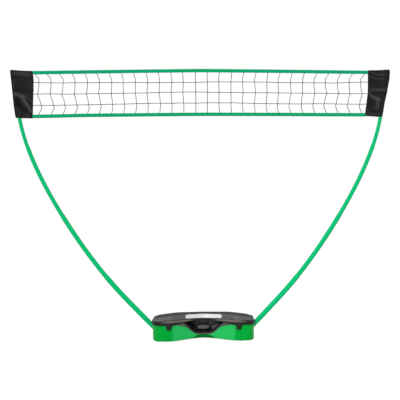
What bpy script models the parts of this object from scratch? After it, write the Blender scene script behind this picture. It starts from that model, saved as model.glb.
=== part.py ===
"""A badminton net set that stands on its own carry case.

The case lies flat on the floor and is the base. A bowed pole of four sections stands in a slanted
socket at each end, and the fabric sleeves of the net slip over the pole tips. Sizes are metres and
+Z is up. The origin is on the floor under the middle of the case, whose front looks along -Y.
"""

import math
import random

import bmesh
import bpy
from mathutils import Matrix, Vector

GAP = 0.0003

# Plan of the case: two flat end blocks with a waist between them
CASE_LENGTH = 0.741
CASE_DEPTH = 0.260
WAIST_HALF_WIDTH = 0.225
WAIST_DEPTH = 0.085
WAIST_POWER = 1.4
WAIST_STEPS = 9
CREASE_WIDTH = 0.004
FRONT_CORNER = Vector((0.0555, 0.080))
REAR_CORNER = Vector((0.050, 0.050))
CORNER_STEPS = 4

# Tub, whose rim stands inside the lid except over the waist
TUB_BOTTOM = 0.0045
TUB_RIM = 0.1350
TUB_WALL = 0.003
TUB_ARCH = 0.013
WAIST_RIM = 0.125
NOTCH_BOTTOM = 0.046
NOTCH_INNER = 0.030
NOTCH_OUTER = 0.155
RAMP_END = 0.030

# Lid, from the skirt's lower edge to the crown
LID_OVERHANG = 0.007
LID_WALL = 0.0025
SKIRT_BOTTOM = 0.1215
SKIRT_TOP = 0.136
SKIRT_ARCH_HALF_WIDTH = 0.225
SKIRT_ARCH_TOP = 0.1455
SKIRT_ARCH_POWER = 2.5
CROWN_HEIGHT = 0.1725
CROWN_RISE = 0.0175
CROWN_HALF_LENGTH = 0.357
CROWN_POWER = 2.6
POLE_NOTCH_HEIGHT = 0.111
POLE_NOTCH_RADIUS = 0.0205

LABEL_LENGTH = 0.266
LABEL_FIRST = 0.14
LABEL_LAST = 0.93
LABEL_THICKNESS = 0.0015

# Rear hinge, front latches and handle, as (Y, Z) of each axis
HINGE_AXIS = Vector((0.144, 0.124))
HINGE_CENTRES = (-0.22, 0.22)
KNUCKLE_RADIUS = 0.0055
HINGE_PIN_RADIUS = 0.002
LATCH_AXIS = Vector((-0.144, 0.131))
LATCH_CENTRES = (-0.2525, 0.2525)
LATCH_HALF_WIDTH = 0.020
LATCH_PIN_RADIUS = 0.0015
HANDLE_AXIS = Vector((-0.021, 0.120))
HANDLE_REACH = 0.032
HANDLE_PIN_RADIUS = 0.003
ARM_INNER = 0.040
ARM_OUTER = 0.047
ARM_RADIUS = 0.007
BAR_RADIUS = 0.006
GRIP_MIDDLE = 0.0175
GRIP_END = 0.0125

# Recess behind the handle
RECESS_HALF_WIDTH = 0.140
RECESS_BACK_HALF_WIDTH = 0.085
RECESS_BACK = 0.012
RECESS_LIP = 0.010
HOUSING_WALL = 0.0025
HOUSING_TOP = 0.139
HOUSING_RISE = 0.008

FOOT_PLACES = ((-0.27, -0.098), (0.27, -0.098), (-0.27, 0.098), (0.27, 0.098))
FOOT_RADIUS = 0.013
FOOT_STEM_RADIUS = 0.004

# Pole route on the +X side as (X, Z, lean from the vertical in degrees) at the socket's mouth,
# at the three joints and at the tip
POLE_ROUTE = (
    (0.3705, 0.095, 43.5),
    (0.7075, 0.459, 39.4),
    (1.0280, 0.915, 31.4),
    (1.2807, 1.427, 19.8),
    (1.3850, 1.975, 7.0),
)
POLE_RADII = (0.0172, 0.0154, 0.0136, 0.0118)
POLE_WALL = 0.0017
POLE_SIDES = 14
SOCKET_DEPTH = 0.0925
SOCKET_WALL = 0.0032
PLUG_OVERLAP = 0.060
CORD_RADIUS = 0.002

# Net between the sleeves: three rows and 28 columns of strands
NET_COLUMNS = 28
NET_PITCH = 0.0884
NET_HALF_WIDTH = 1.240
NET_BOW_POWER = 1.2
ROW_HEIGHTS = ((1.8885, 0.0080), (1.8080, 0.0140), (1.7270, 0.0150))
STRAND_HALF = 0.0012
KNOT_HALF = 0.0019
TOP_LEAN = 1.026
TAPE_HEIGHT = 0.0230
TAPE_HALF_THICKNESS = 0.0032
SLOT_HALF_WIDTH = 0.0016
SLOT_DEPTH = 0.012
TOP_TAPE_LINE = (1.979, 0.0145)
BOTTOM_TAPE_LINE = (1.638, 0.008)

SLEEVE_BOTTOM = 1.636
SLEEVE_TOP = 1.984
SLEEVE_INNER = (1.2300, 1.2410)
SLEEVE_OUTER = (1.3560, 1.4040)
SLEEVE_BULGE = 0.0160
SLEEVE_POCKET = 0.0138
SLEEVE_HALF_FLAT = 0.0016
SLEEVE_FOLD = 0.005
SLEEVE_LEVELS = 12


def linear(channel):
    """Turns one sRGB channel into the linear value that a shader takes."""
    if channel <= 0.04045:
        return channel / 12.92
    return ((channel + 0.055) / 1.055) ** 2.4


def finish(name, colour, roughness, metallic=0.0):
    """A plain Principled material from an sRGB hex colour."""
    material = bpy.data.materials.new(name)
    material.use_nodes = True
    shader = material.node_tree.nodes["Principled BSDF"]
    channels = [int(colour[i:i + 2], 16) / 255 for i in (1, 3, 5)]
    shader.inputs["Base Color"].default_value = [linear(c) for c in channels] + [1.0]
    shader.inputs["Roughness"].default_value = roughness
    shader.inputs["Metallic"].default_value = metallic
    return material


def side_name(side):
    return "left" if side < 0 else "right"


def joint_empty(name, point):
    """The empty that stands on a body's joint axis and carries the body's pieces."""
    empty = bpy.data.objects.new(name, None)
    empty.location = point
    bpy.context.collection.objects.link(empty)
    return empty


def new_object(name, shape, origin):
    """Makes an object from a bmesh drawn in world metres, with its origin at the given point."""
    bmesh.ops.transform(shape, matrix=Matrix.Translation(-origin), verts=shape.verts)
    data = bpy.data.meshes.new(name)
    shape.to_mesh(data)
    shape.free()
    made = bpy.data.objects.new(name, data)
    bpy.context.collection.objects.link(made)
    return made


def add_piece(name, shape, material, body, closed=True, sharp_degrees=35):
    """Adds one piece of a body. An open sheet keeps the facing that it was drawn with."""
    if closed:
        bmesh.ops.recalc_face_normals(shape, faces=shape.faces)
    piece = new_object(name, shape, body.location)
    piece.parent = body
    piece.data.shade_smooth()
    piece.data.set_sharp_from_angle(angle=math.radians(sharp_degrees))
    piece.data.materials.append(material)
    return piece


def solidify(piece, thickness, even=True):
    """Gives a sheet its wall on the side that its faces look away from."""
    wall = piece.modifiers.new("wall", "SOLIDIFY")
    wall.thickness = thickness
    wall.offset = -1.0
    wall.use_even_offset = even


def combine(piece, shape, operation):
    """Joins a tool shape to a piece, or cuts it away, with a Boolean."""
    bmesh.ops.recalc_face_normals(shape, faces=shape.faces)
    tool = new_object(f"{piece.name}_{operation.lower()}", shape, Vector())
    tool.hide_render = True
    tool.display_type = "WIRE"
    boolean = piece.modifiers.new(operation.lower(), "BOOLEAN")
    boolean.operation = operation
    boolean.solver = "EXACT"
    boolean.object = tool


def loft(shape, rings, closed=False):
    """Joins equal rings of points with quads and returns the rings of vertices."""
    loops = [[shape.verts.new(point) for point in ring] for ring in rings]
    pairs = list(zip(loops, loops[1:]))
    if closed:
        pairs.append((loops[-1], loops[0]))
    for first, second in pairs:
        for i in range(len(first)):
            j = (i + 1) % len(first)
            shape.faces.new((first[i], first[j], second[j], second[i]))
    return loops


def capped_loft(shape, rings):
    """A loft that is closed at both ends."""
    loops = loft(shape, rings)
    shape.faces.new(reversed(loops[0]))
    shape.faces.new(loops[-1])


def prism(shape, outline, start, end):
    """Extrudes a (Y, Z) outline along X."""
    capped_loft(shape, [[(x, y, z) for y, z in outline] for x in (start, end)])


def block(shape, low, high):
    """A box between two opposite corners."""
    prism(shape, ((low[1], low[2]), (high[1], low[2]), (high[1], high[2]), (low[1], high[2])),
          low[0], high[0])


def circle_points(centre, radius, first, last, steps):
    """Points of an arc in a plane, from the first angle to the last, in degrees."""
    angles = [math.radians(first + (last - first) * i / steps) for i in range(steps + 1)]
    return [(centre[0] + radius * math.cos(a), centre[1] + radius * math.sin(a)) for a in angles]


def round_bar(shape, centre, radius, start, end, sides=16):
    """A cylinder along X about a (Y, Z) centre."""
    outline = circle_points(centre, radius, 0, 360 - 360 / sides, sides - 1)
    prism(shape, outline, start, end)


def turned(shape, centre, profile, sides):
    """A solid turned about a vertical axis from (radius, height) points."""
    rings = []
    for radius, height in profile:
        ring = circle_points(centre, radius, 0, 360 - 360 / sides, sides - 1)
        rings.append([(x, y, height) for x, y in ring])
    capped_loft(shape, rings)


def front_line(x):
    """Depth of the case's front wall: a waist between two flat end blocks."""
    reach = min(1.0, abs(x) / WAIST_HALF_WIDTH)
    return -CASE_DEPTH / 2 + WAIST_DEPTH * (1 - reach ** WAIST_POWER)


def waist_stations():
    """X of the waist's stations, the last just short of its end and one just past it."""
    stations = [WAIST_HALF_WIDTH * i / WAIST_STEPS for i in range(WAIST_STEPS)]
    return stations + [WAIST_HALF_WIDTH - 0.0015, WAIST_HALF_WIDTH + 0.0015]


def half_outline(line, corner):
    """Plan points on the +X side of the front or rear, from the middle to the end wall."""
    points = [Vector((x, line(x))) for x in waist_stations()]
    inward = -1 if line(CASE_LENGTH / 2) > 0 else 1
    start = Vector((CASE_LENGTH / 2 - corner.x, line(CASE_LENGTH / 2)))
    for i in range(CORNER_STEPS + 1):
        turn = math.pi / 2 * i / CORNER_STEPS
        points.append(start + Vector((corner.x * math.sin(turn),
                                      inward * corner.y * (1 - math.cos(turn)))))
    return points


def case_outline():
    """The tub's plan: front from left to right, then rear from right to left."""
    front = half_outline(front_line, FRONT_CORNER)
    rear = half_outline(lambda x: CASE_DEPTH / 2, REAR_CORNER)
    front_row = [Vector((-p.x, p.y)) for p in reversed(front[1:])] + front
    rear_row = [Vector((-p.x, p.y)) for p in reversed(rear[1:])] + rear
    return front_row + list(reversed(rear_row))


def grown_outline(grow):
    """The plan moved outward by a distance that may change with X and with front or rear."""
    outline = case_outline()
    count = len(outline)
    moved = []
    for i, point in enumerate(outline):
        back, ahead = i - 1, (i + 1) % count
        if (point - outline[back]).length < CREASE_WIDTH:
            back -= 1
        if (point - outline[ahead]).length < CREASE_WIDTH:
            ahead = (ahead + 1) % count
        before = (point - outline[back]).normalized()
        after = (outline[ahead] - point).normalized()
        normals = Vector((before.y, -before.x)), Vector((after.y, -after.x))
        bisector = (normals[0] + normals[1]).normalized()
        distance = grow(point.x, i < count // 2)
        moved.append(point + bisector * distance / max(0.5, bisector.dot(normals[0])))
    return moved


def case_ring(grow, height):
    """One loop round the case. Both arguments are functions of X and of being at the front."""
    outline = case_outline()
    half = len(outline) // 2
    moved = grown_outline(grow)
    return [(m.x, m.y, height(p.x, i < half)) for i, (m, p) in enumerate(zip(moved, outline))]


def fill_case_ring(shape, loop, middle_depth, middle_height, facing_up):
    """Closes a case ring with a ladder of faces and a row of points along the middle."""
    half = len(loop) // 2
    front = loop[:half]
    rear = list(reversed(loop[half:]))
    middle = [None] * half
    for i in range(1, half - 1):
        x = (front[i].co.x + rear[i].co.x) / 2
        middle[i] = shape.verts.new((x, middle_depth, middle_height(x)))
    faces = [(front[0], front[1], middle[1], rear[1], rear[0])]
    for i in range(1, half - 2):
        faces.append((front[i], front[i + 1], middle[i + 1], middle[i]))
        faces.append((middle[i], middle[i + 1], rear[i + 1], rear[i]))
    faces.append((front[-2], front[-1], rear[-1], rear[-2], middle[-2]))
    for face in faces:
        shape.faces.new(face if facing_up else tuple(reversed(face)))


def waist_wave(x):
    """1 in the middle of the waist, easing to 0 at its ends."""
    reach = min(1.0, abs(x) / WAIST_HALF_WIDTH)
    return math.cos(math.pi / 2 * reach) ** 2


def notch_line(x):
    """Height of the tub's front edge in the waist, with the notch for the handle."""
    reach = (abs(x) - NOTCH_INNER) / (NOTCH_OUTER - NOTCH_INNER)
    reach = min(1.0, max(0.0, reach)) ** 1.25
    ease = reach * reach * (3 - 2 * reach)
    return NOTCH_BOTTOM + (WAIST_RIM - NOTCH_BOTTOM) * ease


def skirt_line(x):
    """Height of the lid's lower edge at the front, arched over the handle."""
    reach = min(1.0, abs(x) / SKIRT_ARCH_HALF_WIDTH) ** SKIRT_ARCH_POWER
    ease = 1 - reach * reach * (3 - 2 * reach)
    return SKIRT_BOTTOM + (SKIRT_ARCH_TOP - SKIRT_BOTTOM) * ease


def housing_top(x):
    """Height of the handle housing's upper edge, behind the lid's skirt."""
    return HOUSING_TOP + HOUSING_RISE * (1 - (x / WAIST_HALF_WIDTH) ** 2)


def crown(x):
    """How much the lid rises above its height near the ends."""
    return CROWN_RISE * (1 - (abs(x) / CROWN_HALF_LENGTH) ** CROWN_POWER)


def hinge_knuckle(first, last, neck):
    """A (Y, Z) outline: an arc round the hinge axis and the neck that carries it."""
    arc = circle_points(HINGE_AXIS, KNUCKLE_RADIUS, first, last, 10)
    return arc + list(neck)


def socket_frame(side):
    """Mouth of the pole socket and the direction in which the pole leaves it."""
    x, z, lean = POLE_ROUTE[0]
    lean = math.radians(lean)
    return Vector((side * x, 0, z)), Vector((side * math.sin(lean), 0, math.cos(lean)))


def slanted_ring(centre, along, radius, sides):
    """A circle of points about a direction in the XZ plane."""
    across = Vector((along.z, 0, -along.x))
    ring = []
    for i in range(sides):
        turn = 2 * math.pi * i / sides
        ring.append(centre + radius * (math.cos(turn) * across + math.sin(turn) * Vector((0, 1, 0))))
    return ring


def slanted_bar(shape, side, radius, start, end, sides=20):
    """A cylinder on the socket's axis between two distances from its mouth."""
    mouth, along = socket_frame(side)
    capped_loft(shape, [slanted_ring(mouth + along * s, along, radius, sides) for s in (start, end)])


def make_tub(material, body):
    """The moulded tub with its ribs, latch keepers, hinge knuckles and holes."""

    def front_part(x, is_front):
        return waist_wave(x) if is_front else 0.0

    def rim(x, is_front):
        inside_waist = is_front and abs(x) < WAIST_HALF_WIDTH
        return notch_line(x) if inside_waist else TUB_RIM

    rings = (
        case_ring(lambda x, f: -0.009 - 0.007 * front_part(x, f),
                  lambda x, f: TUB_BOTTOM + TUB_ARCH * front_part(x, f)),
        case_ring(lambda x, f: -0.0015,
                  lambda x, f: TUB_BOTTOM + 0.008 + (TUB_ARCH + 0.005) * front_part(x, f)),
        case_ring(lambda x, f: 0.0, rim),
    )
    shape = bmesh.new()
    loops = loft(shape, rings)
    fill_case_ring(shape, loops[0], RAMP_END, lambda x: TUB_BOTTOM, facing_up=False)
    tub = add_piece("case_tub", shape, material, body, closed=False)
    solidify(tub, TUB_WALL)

    added = bmesh.new()
    for rib in (-0.09, -0.03, 0.03, 0.09):
        block(added, (rib - 0.0015, 0.036, TUB_BOTTOM + 0.0015), (rib + 0.0015, 0.112, 0.015))
    for centre in LATCH_CENTRES:
        block(added, (centre - 0.014, -0.1345, 0.094), (centre + 0.014, -0.1282, 0.099))
    knuckle = hinge_knuckle(234.9, -60, ((0.1285, 0.100), (0.1285, 0.1195)))
    for centre in HINGE_CENTRES:
        for start in (centre - 0.030, centre + 0.015):
            prism(added, knuckle, start, start + 0.015)
    combine(tub, added, "UNION")

    holes = bmesh.new()
    for centre in HINGE_CENTRES:
        round_bar(holes, HINGE_AXIS, HINGE_PIN_RADIUS + 0.0004, centre - 0.035, centre + 0.035, 12)
    for side in (-1, 1):
        slanted_bar(holes, side, POLE_RADII[0] + 0.0004, -0.030, 0.030)
    for place in FOOT_PLACES:
        turned(holes, place, ((FOOT_STEM_RADIUS + 0.0004, -0.01), (FOOT_STEM_RADIUS + 0.0004, 0.02)), 12)
    combine(tub, holes, "DIFFERENCE")


def make_feet(material, body):
    """Push-in rubber feet: a pad, a stem through the floor and a barb above it."""
    floor = TUB_BOTTOM + TUB_WALL
    stem = FOOT_STEM_RADIUS
    profile = (
        (FOOT_RADIUS - 0.001, 0.0),
        (FOOT_RADIUS, 0.001),
        (FOOT_RADIUS, TUB_BOTTOM - GAP),
        (stem, TUB_BOTTOM - GAP),
        (stem, floor + GAP),
        (stem + 0.0015, floor + GAP),
        (stem - 0.001, floor + 0.005),
    )
    for x, y in FOOT_PLACES:
        shape = bmesh.new()
        turned(shape, (x, y), profile, 16)
        depth = "front" if y < 0 else "rear"
        add_piece(f"foot_{depth}_{side_name(x)}", shape, material, body)


def lid_rings():
    """Loops of the lid's outer skin, from the skirt's edge up to the crown's edge."""

    def level(distance, front_height, rear_height):
        return case_ring(lambda x, f: distance,
                         lambda x, f: (front_height if f else rear_height) + crown(x))

    return (
        case_ring(lambda x, f: LID_OVERHANG, lambda x, f: skirt_line(x) if f else SKIRT_BOTTOM),
        level(LID_OVERHANG, SKIRT_TOP, SKIRT_TOP),
        level(0.003, 0.1385, 0.1385),
        level(-0.008, 0.1730, 0.1535),
        level(-0.015, 0.1765, 0.1575),
        level(-0.028, 0.1780, 0.1600),
    )


def make_lid(material, body):
    """The crowned lid with latch lugs, hinge knuckles and room for the slanted poles."""
    shape = bmesh.new()
    loops = loft(shape, lid_rings())
    fill_case_ring(shape, loops[-1], 0.030, lambda x: CROWN_HEIGHT + crown(x), facing_up=True)
    lid = add_piece("case_lid", shape, material, body, closed=False)
    solidify(lid, LID_WALL)

    added = bmesh.new()
    knuckle = hinge_knuckle(196, 450, ((0.1355, HINGE_AXIS.y + KNUCKLE_RADIUS), (0.1355, 0.1225)))
    for centre in HINGE_CENTRES:
        prism(added, knuckle, centre - 0.0145, centre + 0.0145)
    lug = circle_points(LATCH_AXIS, KNUCKLE_RADIUS, 90, 270, 8)
    lug += [(-0.1355, LATCH_AXIS.y - KNUCKLE_RADIUS), (-0.1355, LATCH_AXIS.y + KNUCKLE_RADIUS)]
    for centre in LATCH_CENTRES:
        for start in (centre - LATCH_HALF_WIDTH - 0.0045, centre + LATCH_HALF_WIDTH + 0.0005):
            prism(added, lug, start, start + 0.004)
    combine(lid, added, "UNION")

    holes = bmesh.new()
    for centre in HINGE_CENTRES:
        round_bar(holes, HINGE_AXIS, HINGE_PIN_RADIUS + 0.0004, centre - 0.020, centre + 0.020, 12)
    for centre in LATCH_CENTRES:
        round_bar(holes, LATCH_AXIS, LATCH_PIN_RADIUS + 0.0004, centre - 0.030, centre + 0.030, 12)
    for start in (-0.390, 0.370):
        round_bar(holes, (0.0, POLE_NOTCH_HEIGHT), POLE_NOTCH_RADIUS, start, start + 0.020, 20)
    combine(lid, holes, "DIFFERENCE")


def point_at_x(row, x):
    """Point of a polyline, given from left to right, at an X."""
    for first, second in zip(row, row[1:]):
        if first.x <= x <= second.x:
            return first.lerp(second, (x - first.x) / (second.x - first.x))
    return row[-1]


def make_label(material, body):
    """A pill-shaped plate that lies on the lid's front slope."""
    count = len(case_outline()) // 2
    lower, upper = ([Vector(p) for p in ring[:count]] for ring in lid_rings()[2:4])
    slope = (point_at_x(upper, 0) - point_at_x(lower, 0)).length
    rounding = slope * (LABEL_LAST - LABEL_FIRST) / 2

    def on_lid(x, share, lift):
        """Point on the slope at an X and a share of its height, lifted off the surface."""
        across = point_at_x(lower, x + 0.001) - point_at_x(lower, x - 0.001)
        rise = point_at_x(upper, x) - point_at_x(lower, x)
        normal = across.cross(rise).normalized()
        return point_at_x(lower, x) + rise * share + normal * lift

    half = LABEL_LENGTH / 2
    straight = half - rounding
    angles = (0, 30, 60)
    ends = [(straight + rounding * math.cos(math.radians(a)), math.sin(math.radians(a))) for a in angles]
    columns = [(x, 1.0) for x in (straight, 0.100, 0.075, 0.050, 0.025)]
    right = ends + columns
    columns = right + [(0.0, 1.0)] + [(-x, h) for x, h in reversed(right)]
    middle = (LABEL_FIRST + LABEL_LAST) / 2
    reach = (LABEL_LAST - LABEL_FIRST) / 2
    ring = [(x, middle + reach * h) for x, h in columns]
    ring += [(x, middle - reach * h) for x, h in reversed(columns[1:-1])]
    shape = bmesh.new()
    lifts = (GAP, GAP + LABEL_THICKNESS)
    loops = loft(shape, [[on_lid(x, share, lift) for x, share in ring] for lift in lifts])
    last = len(columns) - 1
    for loop in loops:
        for i in range(last):
            corners = [loop[i], loop[i + 1], loop[-i - 1], loop[-i] if i else loop[0]]
            unique = list(dict.fromkeys(corners))
            shape.faces.new(unique)
    add_piece("label_plate", shape, material, body)


def make_hinge_pins(material, body):
    for centre in HINGE_CENTRES:
        shape = bmesh.new()
        round_bar(shape, HINGE_AXIS, HINGE_PIN_RADIUS, centre - 0.0305, centre + 0.0305, 12)
        add_piece(f"hinge_pin_{side_name(centre)}", shape, material, body)


def make_latch(side, centre, plastic, steel, lid, body):
    """A latch that hangs from its pin, with a hook that stops just short of the tub's keeper."""
    axis_y, axis_z = LATCH_AXIS
    outline = circle_points(LATCH_AXIS, 0.0045, -40, 200, 10)
    outline += [
        (axis_y - 0.0036, 0.112),
        (axis_y - 0.0030, 0.098),
        (axis_y - 0.0012, 0.0895),
        (axis_y + 0.0010, 0.0875),
        (-0.1350, 0.0875),
        (-0.1350, 0.0905),
        (axis_y + 0.0022, 0.0925),
        (axis_y + 0.0006, 0.098),
        (axis_y + 0.0000, 0.112),
        (axis_y + 0.0016, axis_z - 0.0048),
    ]
    shape = bmesh.new()
    prism(shape, outline, centre - LATCH_HALF_WIDTH, centre + LATCH_HALF_WIDTH)
    latch = add_piece(f"latch_{side_name(side)}", shape, plastic, body)
    bore = bmesh.new()
    round_bar(bore, LATCH_AXIS, LATCH_PIN_RADIUS + 0.0004, centre - 0.030, centre + 0.030, 12)
    combine(latch, bore, "DIFFERENCE")
    pin = bmesh.new()
    round_bar(pin, LATCH_AXIS, LATCH_PIN_RADIUS, centre - 0.0245, centre + 0.0245, 12)
    add_piece(f"latch_pin_{side_name(side)}", pin, steel, lid)


def housing_ring(half_width, bottom, top, depth):
    """A loop of the handle housing seen from the front: lower edge, then upper edge back."""
    steps = waist_stations()[:-1]
    kept = min(0.100, 0.7 * half_width)
    squeeze = (half_width - kept) / (steps[-1] - kept)
    half = [x if x <= kept else kept + (x - kept) * squeeze for x in steps]
    stations = [-x for x in reversed(half[1:])] + half
    lower = [(x, depth(x), bottom(x)) for x in stations]
    upper = [(x, depth(x), top(x)) for x in stations]
    return lower + list(reversed(upper))


def make_handle_housing(material, body):
    """The dark moulding in the notch: a flange that follows the notch, and the recess."""
    end = WAIST_HALF_WIDTH - 0.0025

    def proud(amount):
        return lambda x: front_line(x) - amount

    def recess_depth(share):
        return lambda x: front_line(x) * (1 - share) + RECESS_BACK * share

    rings = (
        housing_ring(end, lambda x: notch_line(x) + 0.0005, lambda x: housing_top(x) + 0.0005,
                     proud(0.0005)),
        housing_ring(end - 0.002, lambda x: notch_line(x) + 0.0030,
                     lambda x: housing_top(x) - 0.0015, proud(0.0025)),
        housing_ring(RECESS_HALF_WIDTH + 0.004, lambda x: notch_line(x) + RECESS_LIP - 0.002,
                     lambda x: housing_top(x) - 0.0032, proud(0.0025)),
        housing_ring(RECESS_HALF_WIDTH, lambda x: notch_line(x) + RECESS_LIP,
                     lambda x: housing_top(x) - 0.0045, proud(0.0)),
        housing_ring(0.5 * (RECESS_HALF_WIDTH + RECESS_BACK_HALF_WIDTH),
                     lambda x: notch_line(x * 1.1) + RECESS_LIP + 0.005,
                     lambda x: housing_top(x) - 0.0050, recess_depth(0.55)),
        housing_ring(RECESS_BACK_HALF_WIDTH, lambda x: notch_line(x * 1.3) + RECESS_LIP + 0.012,
                     lambda x: housing_top(x) - 0.0070, recess_depth(1.0)),
    )
    shape = bmesh.new()
    loops = loft(shape, rings)
    back = loops[-1]
    half = len(back) // 2
    for i in range(half - 1):
        shape.faces.new((back[i], back[i + 1], back[-i - 2], back[-i - 1]))
    housing = add_piece("handle_housing", shape, material, body, closed=False)
    solidify(housing, HOUSING_WALL, even=False)

    lug = circle_points(HANDLE_AXIS, 0.008, 180, 360, 8)
    lug += [(HANDLE_AXIS.x + 0.008, 0.1432), (HANDLE_AXIS.x - 0.008, 0.1432)]
    lugs = bmesh.new()
    holes = bmesh.new()
    for side in (-1, 1):
        ends = sorted((side * (ARM_OUTER + 0.0005), side * (ARM_OUTER + 0.0065)))
        prism(lugs, lug, ends[0], ends[1])
        round_bar(holes, HANDLE_AXIS, HANDLE_PIN_RADIUS + 0.0004, ends[0] - 0.005, ends[1] + 0.005, 12)
    combine(housing, lugs, "UNION")
    combine(housing, holes, "DIFFERENCE")


def make_handle(plastic, rubber, steel, base, body):
    """The bail with its two arms and bar, the soft grip on the bar and the two pivot pins."""
    bar_centre = (HANDLE_AXIS.x, HANDLE_AXIS.y - HANDLE_REACH)
    arm = circle_points(HANDLE_AXIS, ARM_RADIUS, 0, 180, 8)
    arm += circle_points(bar_centre, ARM_RADIUS, 180, 360, 8)
    shape = bmesh.new()
    prism(shape, arm, -ARM_OUTER, -ARM_INNER)
    bail = add_piece("handle_bail", shape, plastic, body)
    second = bmesh.new()
    prism(second, arm, ARM_INNER, ARM_OUTER)
    round_bar(second, bar_centre, BAR_RADIUS, -ARM_INNER - 0.003, ARM_INNER + 0.003)
    combine(bail, second, "UNION")
    bail.modifiers["union"].use_self = True
    bore = bmesh.new()
    round_bar(bore, HANDLE_AXIS, HANDLE_PIN_RADIUS + 0.0004, -0.070, 0.070, 12)
    combine(bail, bore, "DIFFERENCE")

    reach = ARM_INNER - GAP
    steps = 8
    rings = []
    for i in range(steps + 1):
        x = reach * (2 * i / steps - 1)
        swell = 1 - (x / reach) ** 2
        radius = GRIP_END + (GRIP_MIDDLE - GRIP_END) * swell
        outline = circle_points(bar_centre, radius, 0, 337.5, 15)
        rings.append([(x, y, z) for y, z in outline])
    for x in (reach, -reach):
        outline = circle_points(bar_centre, BAR_RADIUS + 0.0004, 0, 337.5, 15)
        rings.append([(x, y, z) for y, z in outline])
    grip = bmesh.new()
    loft(grip, rings, closed=True)
    add_piece("handle_grip", grip, rubber, body)

    for side in (-1, 1):
        ends = sorted((side * (ARM_INNER - 0.001), side * (ARM_OUTER + 0.0075)))
        pin = bmesh.new()
        round_bar(pin, HANDLE_AXIS, HANDLE_PIN_RADIUS, ends[0], ends[1], 12)
        add_piece(f"handle_pin_{side_name(side)}", pin, steel, base)


def make_socket(side, material, body):
    """A slanted tube inside the tub with a web and a foot plate, open at the end wall."""
    shape = bmesh.new()
    slanted_bar(shape, side, POLE_RADII[0] + SOCKET_WALL, -SOCKET_DEPTH - 0.003, 0.030)
    socket = add_piece(f"pole_socket_{side_name(side)}", shape, material, body)
    floor = TUB_BOTTOM + TUB_WALL
    web = [(0.318, floor + 0.002), (0.357, floor + 0.002), (0.357, 0.0805), (0.318, 0.0395)]
    carrier = bmesh.new()
    capped_loft(carrier, [[(side * x, y, z) for x, z in web] for y in (-0.002, 0.002)])
    combine(socket, carrier, "UNION")
    plate = bmesh.new()
    ends = sorted((side * 0.308, side * 0.3565))
    block(plate, (ends[0], -0.022, floor + GAP), (ends[1], 0.022, floor + 0.0035))
    combine(socket, plate, "UNION")
    cut = bmesh.new()
    slanted_bar(cut, side, POLE_RADII[0] + GAP, -SOCKET_DEPTH, 0.060)
    combine(socket, cut, "DIFFERENCE")
    trim = bmesh.new()
    ends = sorted((side * 0.3662, side * 0.450))
    block(trim, (ends[0], -0.040, 0.0), (ends[1], 0.040, 0.200))
    combine(socket, trim, "DIFFERENCE")


def pole_route():
    """Dense points of the pole's centreline on the +X side, with the length up to each."""
    points = []
    for (x0, z0, lean0), (x1, z1, lean1) in zip(POLE_ROUTE, POLE_ROUTE[1:]):
        start, end = Vector((x0, 0, z0)), Vector((x1, 0, z1))
        chord = (end - start).length
        leave = chord * Vector((math.sin(math.radians(lean0)), 0, math.cos(math.radians(lean0))))
        arrive = chord * Vector((math.sin(math.radians(lean1)), 0, math.cos(math.radians(lean1))))
        for i in range(64):
            t = i / 64
            points.append((2 * t ** 3 - 3 * t ** 2 + 1) * start + (t ** 3 - 2 * t ** 2 + t) * leave
                          + (3 * t ** 2 - 2 * t ** 3) * end + (t ** 3 - t ** 2) * arrive)
    points.append(Vector((POLE_ROUTE[-1][0], 0, POLE_ROUTE[-1][1])))
    lengths = [0.0]
    for first, second in zip(points, points[1:]):
        lengths.append(lengths[-1] + (second - first).length)
    return points, lengths


def pole_point(route, side, distance):
    """Centre and direction of the pole at a distance from the socket's mouth."""
    points, lengths = route
    if distance <= 0:
        mouth, along = socket_frame(1)
        centre = mouth + along * distance
    else:
        i = max(k for k, length in enumerate(lengths[:-1]) if length <= distance)
        step = points[i + 1] - points[i]
        along = step.normalized()
        centre = points[i] + along * (distance - lengths[i])
    return Vector((side * centre.x, 0, centre.z)), Vector((side * along.x, 0, along.z))


def pole_rings(route, side, stations):
    """Rings round the pole's centreline from (distance, radius) stations."""
    rings = []
    for distance, radius in stations:
        centre, along = pole_point(route, side, distance)
        rings.append(slanted_ring(centre, along, radius, POLE_SIDES))
    return rings


def section_stations(start, end, first_overlap, last_overlap):
    """Distances of a section's rings: the overlaps' ends, and even steps between them."""
    inner_start = start + first_overlap
    inner_end = end - last_overlap
    steps = 4
    middle = [inner_start + (inner_end - inner_start) * i / steps for i in range(steps + 1)]
    stations = [start] if first_overlap else []
    stations += middle
    return stations + ([end] if last_overlap else [])


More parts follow.
